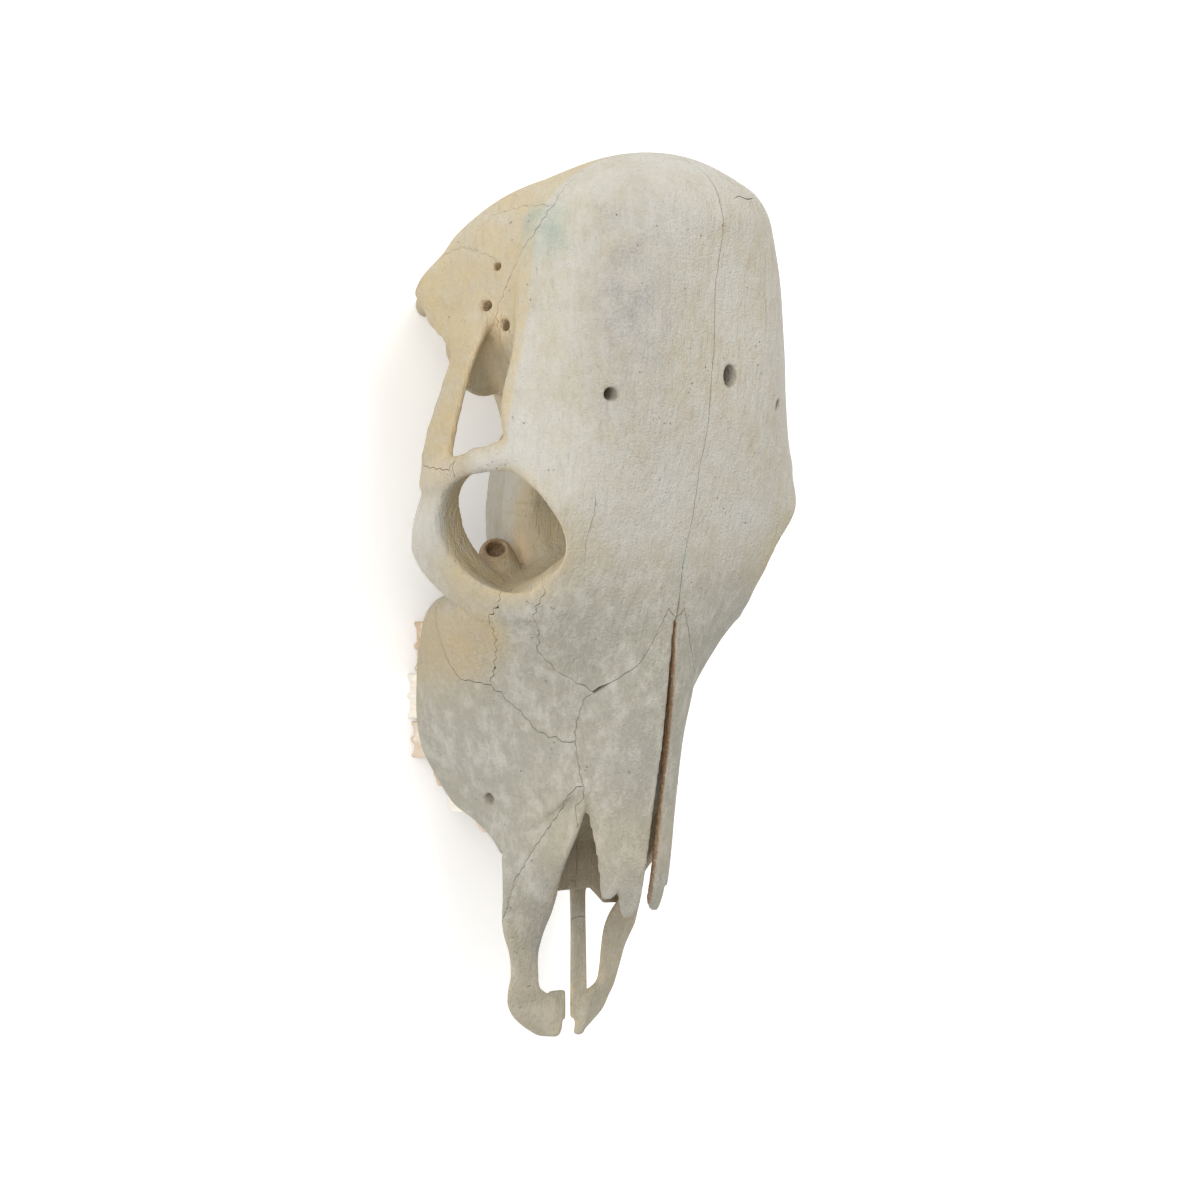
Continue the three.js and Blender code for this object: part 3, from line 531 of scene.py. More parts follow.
@dataclass(frozen=True)
class IncisiveBones:
    """Flat toothless bodies at the tip of the muzzle that rise into the sides of the nose opening."""

    stations: tuple = (3, 9, 15, 21, 25, 29, 36, 47, 58, 66, 75, 87, 97, 112, 135)
    outer_width: tuple = (10, 19.5, 26.5, 29.8, 31.3, 32, 32.4, 34.8, 40, 41.8, 42.8, 43, 43.3, 42, 40)
    outer_height: tuple = (46, 45, 45, 45.5, 47, 48.5, 51, 53, 54.7, 55.5, 57, 57.5, 58, 62, 72)
    inner_width: tuple = (8, 7.6, 8.4, 8.8, 15, 21.5, 23.4, 24, 23.2, 23, 25, 28, 30, 29.5, 28.5)
    inner_height: tuple = (51, 53, 52.5, 52.5, 52.5, 52.8, 53.5, 54.5, 58, 63, 70, 78, 86, 95, 103)
    radius: tuple = (2.6, 2.9, 3.1, 3.2, 3.1, 3.0, 3.0, 2.9, 2.8, 2.7, 2.6, 2.6, 2.6, 2.5, 2.4)

    def blade(self, s: Space) -> Values:
        """The bodies and their rising blades.

        Args:
            s: The grid's coordinates.

        Returns:
            The distance, negative inside.
        """
        outer = curve(s.y, self.stations, self.outer_width), curve(s.y, self.stations, self.outer_height)
        inner = curve(s.y, self.stations, self.inner_width), curve(s.y, self.stations, self.inner_height)
        dx, dz = inner[0] - outer[0], inner[1] - outer[1]
        h = np.clip(((s.a - outer[0]) * dx + (s.z - outer[1]) * dz) / (dx**2 + dz**2), 0, 1)
        away = np.sqrt((s.a - outer[0] - h * dx) ** 2 + (s.z - outer[1] - h * dz) ** 2)
        plate = away - curve(s.y, self.stations, self.radius)
        tip = 3.2 - s.y + 0.02 * np.maximum(s.a - 14, 0) ** 2
        return overlap(overlap(plate, tip, 2), s.y - 134, 2)

    def nose_floor(self, s: Space) -> Values:
        """The shelf at the front of the hard palate.

        Args:
            s: The grid's coordinates.

        Returns:
            The distance, negative inside.
        """
        height = curve(s.y, (60, 78, 100, 130), (56, 56.5, 58, 50))
        shelf = overlap(np.abs(s.z - height) - 2.6, s.a - 41, 2)
        front = 77 - 0.9 * np.clip(s.a - 12, 0, 22)
        return overlap(shelf, overlap(front - s.y, s.y - 135, 1), 2)

    def palatine_process(self, s: Space) -> Values:
        """The long rods beside the midline, broken off short on the right.

        Args:
            s: The grid's coordinates.

        Returns:
            The distance, negative inside.
        """
        rod = np.sqrt(np.maximum(np.abs(s.a - 7.2) - 2.8, 0) ** 2 + (s.z - 52.5) ** 2) - 2.3
        whole = overlap(rod, overlap(12 - s.y, s.y - 118, 1), 1)
        stump = overlap(whole, s.y - 27, 1)
        return np.where(s.x < 0, stump, whole)


@dataclass(frozen=True)
class Braincase:
    """The broad forehead, the temporal line that overhangs each fossa, and the back of the head."""

    stations: tuple = (226, 245, 265, 285, 310, 345, 380, 410, 440)
    lines: tuple = (
        ((38, 44, 48, 50, 50, 50, 47, 42, 38), (134, 139.5, 146, 150, 154, 157.5, 159, 159, 160)),
        ((74, 78, 84.5, 89.5, 92, 83.5, 78, 70, 56), (121, 130, 134, 125, 117, 121, 123, 123, 122)),
        ((58, 58, 62, 66, 65, 74, 76, 70, 54), (108, 113, 119, 106, 104, 105, 104, 102, 102)),
        ((38, 38, 40, 46, 53, 71, 78, 76, 56), (96, 98, 98, 88, 80, 82, 76, 74, 72)),
        ((36, 38, 39, 40, 44, 58, 72, 68, 46), (70, 62, 60, 62, 60, 54, 52, 52, 50)),
        ((32, 34, 34, 31, 30, 36, 38, 34, 30), (50, 47, 46, 45, 43, 38, 34, 34, 34)),
        ((0,) * 9, (50, 48, 46, 45, 43, 38, 34, 33, 34)),
    )
    back_line: Stations = (
        (20, 40, 60, 80, 100, 118, 135, 150, 163, 171, 180),
        (399, 408, 418, 428, 437, 440, 437.5, 431, 422, 410, 390),
    )
    back_rounding: Stations = ((40, 60, 84, 115, 145), (5, 6, 7, 11.5, 13))

    def back(self, s: Space) -> Values:
        """Distance to the back of the head, which falls away to the sides."""
        fall = curve(s.z, *self.back_rounding) * (s.a / 45) ** 2
        return (s.y - curve(s.z, *self.back_line) + fall) * 0.86

    def body(self, s: Space) -> Values:
        """The whole braincase as one solid."""
        return overlap(lofted(s, self.stations, self.lines), self.back(s), 9)


@dataclass(frozen=True)
class Orbit:
    """The rim of the eye socket, its outer plate, the post behind it and the arch to the ear."""

    centre: tuple = (254, 104)
    radii: tuple = (29.5, 31.5)
    arch: tuple = (
        (66, 376, 76, 9), (78, 357, 80, 6), (83.5, 347, 81.4, 4.9), (87.5, 337, 81.3, 4.3),
        (91, 326, 80, 4.3), (94, 314, 78, 4.6), (96.5, 303, 76.4, 5), (98.3, 291, 75, 5.2), (99, 278, 73, 5),
    )
    post: tuple = (
        (84, 288, 121, 6.5), (90, 290, 113, 6), (96, 288, 102, 5.2), (99, 284.5, 90, 4.6), (99, 281, 78, 4.6),
    )

    def opening(self, s: Space) -> Values:
        """Distance to the edge of the eye socket, seen from the side.

        Args:
            s: The grid's coordinates.

        Returns:
            The distance, negative inside.
        """
        y, z = self.centre
        ry, rz = self.radii
        return (np.sqrt(((s.y - y) / ry) ** 2 + ((s.z - z) / rz) ** 2) - 1) * 29

    def plate(self, s: Space) -> Values:
        """The cheek bone under and before the eye, with the band that turns into the socket.

        Args:
            s: The grid's coordinates.

        Returns:
            The distance, negative inside.
        """
        side = np.minimum(92 + 0.42 * (s.y - 250) - 0.33 * (s.z - 80), 99)
        opening = self.opening(s)
        rim = (np.sqrt(((s.y - 250) / 42) ** 2 + ((s.z - 98) / 46) ** 2) - 1) * 40
        lower = curve(s.y, (205, 226, 245, 262, 285, 300), (50, 53, 52, 54, 66, 70))
        plate = overlap((np.abs(s.a - side + 3.5) - 3.6) * 0.85, -opening, 2.5)
        plate = overlap(plate, overlap(rim, lower - s.z, 3), 3)
        plate = overlap(overlap(plate, s.z - 112, 3), overlap(s.y - 287, 212 - s.y, 3), 3)
        width = overlap(side - 22 - s.a, s.a - side, 2)
        band = overlap(np.abs(opening - 2.8) - 2.6, overlap(width, s.z - 104, 3), 2)
        return join(plate, overlap(band, s.y - 288, 2), 3)

    def zygomatic_arch(self, s: Space) -> Values:
        """The thin bar from the cheek to the ear region."""
        return bars(s.half, self.arch, (1, 1, 0.5), 0.8)

    def rear_post(self, s: Space) -> Values:
        """The post between the forehead and the cheek bone."""
        return bars(s.half, self.post, (1, 0.9, 1))

    def socket(self, s: Space) -> Values:
        """The hollow behind the rim, with its notch beside the tear bone."""
        rim = ellipsoid(s.half, (93, 252, 121), (34, 26, 18))
        return join(ellipsoid(s.half, (62, 261, 97), (44, 27, 29)), rim, 8)


@dataclass(frozen=True)
class SkullBase:
    """What lies under the braincase: condyles, ear region, processes and plates."""

    paracondylar: tuple = ((58, 384, 44, 11), (54, 378, 22, 8), (49, 372, 4, 5.5))
    wedge_faces: tuple = (
        ((72, 412, 85), (71, 357, 93), (89.5, 371, 48)),
        ((72, 412, 85), (87, 380.5, 50), (56, 408, 50)),
        ((89.5, 371, 45), (87, 382, 48), (76, 370, 28)),
    )
    ear: tuple = ((82, 349, 72, 8), (84, 360, 60, 6.5), (84.5, 370, 52, 5))

    def added(self) -> tuple[tuple[Shape, float], ...]:
        """Pairs of shape and blend, in the order in which they are joined."""
        return (
            (lambda s: ellipsoid(s.half, (66, 345, 70), (21, 24, 9)), 6),
            (self.temporal_wedge, 4),
            (lambda s: bars(s.half, self.ear), 4),
            (lambda s: ellipsoid(s.half, (25, 396, 30), (17, 13, 20)), 4),
            (lambda s: bars(s.half, self.paracondylar, (1, 0.85, 1), 3), 5),
            (lambda s: bar(s.half, (0, 300, 48), (0, 392, 28), 13, 17, (0.62, 1, 1)), 6),
            (lambda s: ellipsoid(s.half, (42, 350, 30), (10, 15, 15)), 3),
        )

    def temporal_wedge(self, s: Space) -> Values:
        """The sloping plate between the temporal fossa, the ear region and the back of the head.

        Args:
            s: The grid's coordinates.

        Returns:
            The distance, negative inside.
        """
        front = 350 + 0.6 * np.maximum(80 - s.z, 0)
        whole = overlap(overlap(s.z - 91, 42 - s.z, 3), overlap(front - s.y, Braincase().back(s), 3), 3)
        for corners in self.wedge_faces:
            whole = overlap(whole, facet(s.half, corners, (60, 370, 60)), 3)
        return whole

    def spinal_hole(self, s: Space) -> Values:
        """The large hole between the condyles."""
        return bar(s.half, (0, 350, 56), (0, 440, 50), 10, 18, (1, 1, 1.15))

    def pterygoid_plate(self, s: Space) -> Values:
        """The upright plates beside the rear nose openings.

        Args:
            s: The grid's coordinates.

        Returns:
            The distance, negative inside.
        """
        low = curve(s.y, (215, 240, 275, 300, 315), (26, 24, 22, 27, 44))
        sheet = np.abs(s.a - curve(s.y, (220, 260, 300), (26, 25, 22))) - 2.6
        ends = overlap(215 - s.y, s.y - 312, 3)
        return overlap(overlap(sheet, overlap(low - s.z, s.z - 60, 2), 2), ends, 3)

    def rear_nose(self, s: Space) -> Values:
        """The rear openings of the nose."""
        roof = curve(s.y, (230, 260, 300), (80, 70, 50))
        return overlap(s.a - 18, overlap(238 - s.y, overlap(s.z - roof, s.y - 300, 4), 4), 4)


def sculpt_head() -> Sculpture:
    """Builds the whole bone: the half that both sides share, then what differs between them.

    Returns:
        The sculpted head.
    """
    half = Sculpture((0, FRONT, BELOW), (STEP * math.ceil(107 / STEP), REAR, ABOVE), STEP)
    face, nasal, incisive = Face(), NasalBones(), IncisiveBones()
    braincase, orbit, base = Braincase(), Orbit(), SkullBase()

    def brow(s: Space) -> Values:
        """The stretch where the face turns into the braincase."""
        return blended(s.y, *BROW, face.outside(s), braincase.body(s))

    half.join(face.outside, (0, 40, BELOW), (WIDE, BROW[0], ABOVE), SHARP)
    half.join(brow, (0, BROW[0], BELOW), (WIDE, BROW[1], ABOVE), SHARP)
    half.join(braincase.body, (0, BROW[1], BELOW), (WIDE, REAR, ABOVE), SHARP)
    half.cut(face.hollow, (0, 60, 20), (110, 205, 140), 2)
    half.join(incisive.blade, (0, -5, 30), (60, 140, 115), 1.5)
    half.join(incisive.nose_floor, (0, 70, 40), (55, 140, 70), 2)
    half.join(orbit.zygomatic_arch, (50, 262, 50), (110, 396, 105), 5)
    half.join(orbit.plate, (50, 200, 40), (110, 295, 120), 4)
    half.join(orbit.rear_post, (70, 262, 66), (110, 300, 136), 4)
    for shape, blend in base.added():
        half.join(shape, (0, 280, BELOW), (WIDE, REAR, 100), blend)
    half.cut(base.spinal_hole, (0, 330, 20), (60, 448, 90), 3)
    half.join(base.pterygoid_plate, (10, 208, 10), (40, 320, 70), 3)
    half.cut(base.rear_nose, (0, 230, 0), (30, 306, 90), 3)
    half.cut(orbit.socket, (10, 220, 60), (110, 296, 146), 3.5)
    for swelling in SWELLINGS:
        half.join(swelling.shape, *swelling.window(), swelling.blend)
    for groove in GROOVES:
        half.cut(groove.shape, *groove.window(), groove.blend)
    whole = half.mirrored()
    whole.join(nasal.plate, (-40, 60, 90), (40, 206, 140), 1.5)
    whole.cut(nasal.slot, (-8, 50, 92), (8, 216, 145), 1)
    whole.join(incisive.palatine_process, (-14, 5, 44), (14, 125, 64), 2)
    for hole in HOLES:
        whole.cut(hole.shape, *hole.window(), hole.blend)
    place, s = whole.window((-WIDE, FRONT, BELOW), (WIDE, REAR, ABOVE))
    waves = np.sin(s.x / 11 + 1.7 * np.sin(s.y / 23)) * np.sin(s.y / 17 + 0.7) * np.sin(s.z / 13 + 0.4)
    whole.values[place] += LUMP * waves + LUMP
    whole.values = np.maximum(whole.values, (FLOOR_GAP - s.z).astype(np.float32))
    log.info("sculpted %d points", whole.values.size)
    return whole


@dataclass(frozen=True)
class Stroke:
    """A small groove, hole or swelling along a row of points, each x, y, z and radius."""

    points: tuple
    blend: float = 1.0
    sides: bool = True
    scale: tuple = (1, 1, 1)

    def shape(self, s: Space) -> Values:
        """Distance to the stroke."""
        return bars(s.half if self.sides else (s.x, s.y, s.z), self.points, self.scale, 1.0)

    def window(self) -> tuple[Row, Row]:
        """Corners of the block that the stroke can change.

        Returns:
            The lowest and the highest corner.
        """
        reach = max(p[3] for p in self.points) / min(self.scale) + self.blend + 2 * STEP
        p = np.array(self.points)[:, :3]
        return tuple(p.min(0) - reach), tuple(p.max(0) + reach)


# The groove before the hole above the eye, the hollow under the arch, the torn side of the bulla,
# and three small holes in the temporal region
GROOVES = (
    Stroke(((55, 313, 153.5, 2.4), (57, 300, 153, 2.6), (60, 284, 150.5, 2.2), (62, 272, 149, 1.2)), 3.0),
    Stroke(((84, 330, 70, 5), (80, 350, 68, 6)), 4.0),
    Stroke(((60, 251, 72, 5), (52, 245, 62, 4)), 1.5),
    Stroke(((84, 364, 90.5, 2.7), (60, 360, 82, 2.5)), 0.8),
    Stroke(((84, 355.5, 101.5, 2.6), (60, 351, 92, 2.4)), 0.8),
    Stroke(((86, 384, 98, 1.8), (68, 380, 91, 1.6)), 0.8),
)

# The bulla at the inner corner of the eye socket
SWELLINGS = (
    Stroke(((52, 244, 62, 9), (50, 236, 66, 9)), 4.0),
)

# The hole above each eye, the tear-shaped hole of the forehead, and the hole on each side of the nose
HOLES = (
    Stroke(((-56, 316, 158, 3.4), (-51, 321, 138, 2.2)), 1.6, False),
    Stroke(((55, 315, 158, 2.8), (51, 320, 138, 2.2)), 1.6, False),
    Stroke(((12.5, 327.5, 172, 3.6), (11.5, 331.5, 138, 4.2)), 0.8, False, (1, 0.75, 1)),
    Stroke(((-60, 115, 49, 2.6), (-38, 133, 54, 2.4)), 1.6, False),
    Stroke(((60, 115, 49, 2.6), (38, 133, 54, 2.4)), 1.6, False),
)


# Meshes


def mesh_object(name: str, points: np.ndarray, faces: list) -> bpy.types.Object:
    """Makes an object in metres of the frame.

    Args:
        name: The object's name.
        points: Its points in millimetres of the skull's own axes.
        faces: Its faces, each a row of point numbers.

    Returns:
        The object.
    """
    mesh = bpy.data.meshes.new(name)
    place = (np.asarray(points) - (0, MIDDLE_Y, 0)) * MM
    mesh.from_pydata(place.tolist(), [], faces)
    mesh.update()
    piece = bpy.data.objects.new(name, mesh)
    bpy.context.scene.collection.objects.link(piece)
    return piece


class View(Enum):
    """From where an outline is drawn: the side as (y, z), the top as (x, y)."""

    SIDE = "side"
    TOP = "top"


def prism(name: str, outline: list, low: float, high: float, view: View) -> bpy.types.Object:
    """A prism over an outline.

    Args:
        name: The object's name.
        outline: Its corners, in millimetres.
        low: Where it begins, along X for a side outline and along Z for a top outline.
        high: Where it ends.
        view: From where the outline is drawn.

    Returns:
        The prism as an object.
    """
    bm = bmesh.new()
    corners = []
    for u, v in outline:
        at = (low, u, v) if view is View.SIDE else (u, v, low)
        corners.append(bm.verts.new((at[0] * MM, (at[1] - MIDDLE_Y) * MM, at[2] * MM)))
    face = bm.faces.new(corners)
    made = bmesh.ops.extrude_face_region(bm, geom=[face])
    along = Vector((high - low, 0, 0)) if view is View.SIDE else Vector((0, 0, high - low))
    moved = [v for v in made["geom"] if isinstance(v, bmesh.types.BMVert)]
    bmesh.ops.translate(bm, verts=moved, vec=along * MM)
    bmesh.ops.recalc_face_normals(bm, faces=bm.faces)
    mesh = bpy.data.meshes.new(name)
    bm.to_mesh(mesh)
    bm.free()
    tool = bpy.data.objects.new(name, mesh)
    bpy.context.scene.collection.objects.link(tool)
    return tool


class Cut(Enum):
    """What a tool does: keep what it covers, or take it away."""

    KEEP = "INTERSECT"
    TAKE = "DIFFERENCE"


def carve(target: bpy.types.Object, tool: bpy.types.Object, cut: Cut, name: str = "") -> bpy.types.Object:
    """Cuts or intersects an object with a tool.

    Args:
        target: The object that is cut.
        tool: The cutting object, which stays as it is.
        cut: What the tool does.
        name: Name for a new object. Without it, the target itself is changed.

    Returns:
        The new or the changed object.
    """
    modifier = target.modifiers.new("carve", "BOOLEAN")
    modifier.operation = cut.value
    modifier.solver = "MANIFOLD"
    modifier.object = tool
    graph = bpy.context.evaluated_depsgraph_get()
    mesh = bpy.data.meshes.new_from_object(target.evaluated_get(graph))
    target.modifiers.clear()
    if name:
        piece = bpy.data.objects.new(name, mesh)
        bpy.context.scene.collection.objects.link(piece)
        return piece
    old = target.data
    target.data = mesh
    bpy.data.meshes.remove(old)
    return target


def remove(*objects: bpy.types.Object) -> None:
    """Removes helper objects with their meshes."""
    for one in objects:
        mesh = one.data
        bpy.data.objects.remove(one)
        bpy.data.meshes.remove(mesh)


@dataclass(frozen=True)
class Bone:
    """One bone: its outline from the side (y, z) or the top (x, y) and its range from the midline."""

    name: str
    near: float
    far: float
    outline: tuple
    view: View = View.SIDE
    whole: bool = False
    teeth: float = 0.5
    gap: float = 0.34

    def tool(self, outline: list, side: Side, inner: float) -> bpy.types.Object:
        """A prism over the outline on one side of the head, from an inner distance outwards.

        Args:
            outline: The outline, serrated or widened.
            side: The side of the head.
            inner: Where the prism begins, from the midline or from below.

        Returns:
            The prism as an object.
        """
        sign = side.value
        if self.view is View.TOP:
            outline = [(sign * u if u > 0.5 else -2 * sign, v) for u, v in outline]
            return prism("tool", outline, inner, self.far, self.view)
        span = (inner, self.far) if side is Side.LEFT else (-self.far, -inner)
        return prism("tool", outline, *span, self.view)

    def serrated(self, rng: np.random.Generator) -> list:
        """The outline with the small irregular teeth of a suture.

        Args:
            rng: Source of the irregularity.

        Returns:
            The corners of the serrated outline.
        """
        ring = []
        count = len(self.outline)
        for i in range(count):
            p = np.array(self.outline[i], float)
            q = np.array(self.outline[(i + 1) % count], float)
            d = q - p
            length = float(np.hypot(*d))
            steps = max(1, int(length / 2.4))
            normal = np.array([d[1], -d[0]]) / length
            for j in range(steps):
                t = (j + 0.3 * rng.random()) / steps if j else 0.0
                swing = 0.0 if j == 0 else self.teeth * (0.4 + rng.random()) * (1 if j % 2 else -1)
                ring.append(p + d * t + normal * swing)
        return ring


BONES = (
    Bone("nasal", 97, 220, (
        (0, 55), (0, 212), (5, 217), (13, 199), (18, 190), (28, 181), (34, 174), (34, 153), (30, 126),
        (35, 113), (34, 92), (31, 55)), view=View.TOP, teeth=0.25),
    Bone("frontal", 0, FAR, (
        (172, 116), (186, 104), (197, 99), (212, 108), (226, 118), (236, 113), (246, 103), (258, 95),
        (276, 92), (292, 94), (303, 98), (322, 96), (345, 92), (362, 95), (378, 105), (389, 117),
        (398, 123), (410, 126), (423, 124.5), (431, 121.5), (455, 120), (455, 210), (168, 210))),
    Bone("incisive", 0, FAR, (
        (-15, 20), (-15, 112), (131, 112), (131, 99), (118, 88), (98, 72), (84, 62), (70, 58), (48, 46),
        (40, 20)), teeth=0.3),
    Bone("lacrimal", 26, FAR, (
        (150, 126), (153, 98), (158, 86), (172, 77), (181, 70), (198, 80), (212, 84), (222, 95), (236, 99),
        (246, 106), (246, 126)), teeth=0.9),
    Bone("zygomatic", 46, FAR, (
        (181, 70), (184, 54), (193, 49), (211, 42), (226, 36), (300, 36), (309, 66), (286, 70), (283, 91),
        (294, 97), (262, 98), (250, 109), (236, 99), (222, 95), (212, 84), (198, 80)), teeth=0.4),
    Bone("temporal", 31, FAR, (
        (270, 62), (270, 97), (303, 99), (318, 97), (350, 97), (386, 92), (393, 72), (388, 54), (368, 46),
        (366, 10), (332, 10), (330, 44), (316, 52)), gap=0.16),
    Bone("parietal", 0, FAR, (
        (300, 84), (300, 126), (407, 130), (409, 118), (410, 104), (407, 88), (398, 80), (386, 80), (350, 84),
        (330, 84)), whole=True, gap=0.16),
    Bone("occipital", 0, FAR, (
        (338, -10), (338, 130), (350, 145), (470, 145), (470, -10)), whole=True, gap=0.1),
    Bone("sphenoid", 0, FAR, ((266, -10), (266, 99), (345, 99), (345, -10)), whole=True, gap=0.1),
    Bone("palatine", 0, 50, (
        (222, -10), (226, 40), (216, 60), (206, 90), (206, 112), (275, 112), (275, -10)), teeth=0.4, gap=0.1),
    Bone("maxilla", 0, FAR, ((30, -10), (30, 130), (260, 130), (260, -10)), teeth=0.0),
)


def widen(outline: list, distance: float) -> list:
    """The same outline moved outwards.

    Args:
        outline: Its corners.
        distance: How far it is moved, in mm.

    Returns:
        The corners of the wider outline.
    """
    p = np.array(outline)
    q = np.roll(p, -1, 0)
    turn = np.sign(np.sum(p[:, 0] * q[:, 1] - q[:, 0] * p[:, 1]))
    d = q - p
    normal = np.stack([d[:, 1], -d[:, 0]], 1) * turn / np.hypot(d[:, 0], d[:, 1])[:, None]
    before = np.roll(normal, 1, 0)
    scale = distance / np.maximum(0.35, 1 + np.sum(before * normal, 1))
    return list(p + (before + normal) * scale[:, None])


def midline(side: Side) -> bpy.types.Object:
    """A slab with the slightly wavy midline suture as its inner face.

    Args:
        side: The side of the head that the slab holds.

    Returns:
        The slab as an object.
    """
    line = (
        (-20, 0), (60, 0), (208, 0), (222, 0.6), (240, -0.4), (262, 0.9), (285, -0.2), (300, 0.8),
        (322, -0.3), (348, 0.7), (372, -0.5), (395, 0.9), (409, -0.6), (430, 0.3), (470, 0),
    )
    rng = np.random.default_rng(SEED + 7)
    edge = []
    for (y0, x0), (y1, x1) in zip(line[:-1], line[1:]):
        steps = max(1, int((y1 - y0) / 3)) if y0 > 205 else 1
        for j in range(steps):
            t = j / steps
            edge.append((x0 + (x1 - x0) * t + (0.22 * rng.uniform(-1, 1) if j else 0), y0 + (y1 - y0) * t))
    edge.append((line[-1][1], line[-1][0]))
    inner = [(x + side.value * SUTURE_GAP / 2, y) for x, y in edge]
    outline = inner + [(side.value * FAR, 470), (side.value * FAR, -20)]
    return prism("midline", outline, -20, 200, View.TOP)


def part_bones(body: bpy.types.Object) -> dict[str, bpy.types.Object]:
    """Parts the whole bone along its sutures, in the order in which the bones overlap.

    Args:
        body: The whole bone, which is used up.

    Returns:
        The bones by name.
    """
    rng = np.random.default_rng(SEED)
    halves = {side: midline(side) for side in Side}
    pieces = {}
    for bone in BONES:
        ring = bone.serrated(rng)
        wide = widen(ring, bone.gap)
        if bone.whole:
            tool = prism("tool", ring, -FAR, FAR, bone.view)
            cutter = prism("cutter", wide, -FAR, FAR, bone.view)
            pieces[bone.name] = carve(body, tool, Cut.KEEP, bone.name)
            carve(body, cutter, Cut.TAKE)
            remove(tool, cutter)
            continue
        for side in Side:
            tool = bone.tool(ring, side, bone.near if bone.near else -3)
            name = f"{bone.name}_{side.word}"
            piece = carve(body, tool, Cut.KEEP, name)
            pieces[name] = carve(piece, halves[side], Cut.KEEP)
            remove(tool)
        for side in Side:
            cutter = bone.tool(wide, side, bone.near - bone.gap if bone.near else -1)
            carve(body, cutter, Cut.TAKE)
            remove(cutter)
        log.info("parted %s", bone.name)
    remove(body, *halves.values())
    return pieces


@dataclass(frozen=True)
class Crack:
    """A thin crack cut into one bone from above, as x and y points and the height of its floor."""

    bone: str
    points: tuple
    floor: float
    width: float = 0.3

    def cut(self, piece: bpy.types.Object, rng: np.random.Generator) -> None:
        """Cuts the crack, slightly jagged and tapered at its ends.

        Args:
            piece: The bone that is cut.
            rng: Source of the jaggedness.
        """
        line = []
        for (x0, y0), (x1, y1) in zip(self.points[:-1], self.points[1:]):
            steps = max(2, int(math.hypot(x1 - x0, y1 - y0) / 2.2))
            for j in range(steps):
                t = j / steps
                line.append((x0 + (x1 - x0) * t + rng.uniform(-0.35, 0.35), y0 + (y1 - y0) * t))
        line.append(self.points[-1])
        along = [1 - abs(2 * i / (len(line) - 1) - 1) for i in range(len(line))]
        half = [self.width * (0.1 + min(1, 3 * t)) / 2 for t in along]
        flat = abs(self.points[-1][0] - self.points[0][0]) > abs(self.points[-1][1] - self.points[0][1])
        dx, dy = (0, 1) if flat else (1, 0)
        ring = [(x + h * dx, y + h * dy) for (x, y), h in zip(line, half)]
        ring += [(x - h * dx, y - h * dy) for (x, y), h in zip(line[::-1], half[::-1])]
        tool = prism("crack", ring, self.floor, 200, View.TOP)
        carve(piece, tool, Cut.TAKE)
        remove(tool)


CRACKS = (
    Crack("frontal_right", ((-59, 273), (-58, 262), (-59.5, 250), (-57, 238)), 127),
    Crack("frontal_right", ((-37, 171), (-31, 179), (-22, 184.5)), 95, 1.5),
    Crack("frontal_left", ((10, 413), (15, 415), (21, 414), (29, 415.5)), 150, 0.4),
    Crack("frontal_left", ((34, 372), (37, 360), (36, 345)), 150, 0.2),
)


def keep_largest(piece: bpy.types.Object) -> None:
    """Drops loose scraps: only the largest connected part stays.

    Args:
        piece: The piece that is cleaned.
    """
    bm = bmesh.new()
    bm.from_mesh(piece.data)
    seen = set()
    groups = []
    for face in bm.faces:
        if face in seen:
            continue
        group = [face]
        seen.add(face)
        for one in group:
            for edge in one.edges:
                for other in edge.link_faces:
                    if other not in seen:
                        seen.add(other)
                        group.append(other)
        groups.append(group)
    groups.sort(key=len)
    for group in groups[:-1]:
        bmesh.ops.delete(bm, geom=group, context="FACES")
    bm.to_mesh(piece.data)
    bm.free()


# Teeth


@dataclass(frozen=True)
class Tooth:
    """One cheek tooth: place along Y, length, width, outer face, tip height and how stained it is."""

    name: str
    y: float
    length: float
    width: float
    outer: float
    tip: float
    stain: float

    @property
    def lobes(self) -> int:
        """Molars have two lobes, premolars one."""
        return 2 if self.name.startswith("m") else 1

    def shape(self, s: Space) -> Values:
        """Distance to the tooth, its crown ground down to ridges by wear.

        Args:
            s: The grid's coordinates.

        Returns:
            The distance, negative inside.
        """
        u = s.a - (self.outer - self.width / 2)
        v = s.y - self.y
        w = s.z - self.tip
        half = self.width / 2
        reach = self.length / (2 * self.lobes)
        column = None
        for n in range(self.lobes):
            centre = (2 * n + 1) * reach - self.length / 2
            one = (np.sqrt((u / half) ** 2 + ((v - centre) / (reach * 1.08)) ** 2) - 1) * min(half, reach)
            column = one if column is None else join(column, one, 1.2)
        for n in range(self.lobes + 1):
            at = -self.length / 2 + 1.8 + n * (self.length - 3.6) / self.lobes
            style = np.sqrt((u - half + 1.7) ** 2 + (v - at) ** 2) - 1.5
            column = join(column, style, 1.6)
        relief = 1.5 * np.cos(2 * np.pi * (v / (2 * reach) + 0.5)) * np.clip(0.5 + u / self.width, 0, 1) + 0.9
        crown = overlap(column - 0.01 * w, relief + 0.4 - w, 0.8)
        crown = overlap(crown, w - 30, 1)
        for n in range(self.lobes):
            centre = (2 * n + 1) * reach - self.length / 2
            bow = np.sqrt((u + 1.5) ** 2 * 0.8 + (v - centre) ** 2)
            cup = overlap(np.abs(bow - 0.52 * half) - 0.75, w - 3.6, 1)
            cup = overlap(cup, -u - 2.0, 1)
            crown = overlap(crown, -cup, 0.7)
        return crown


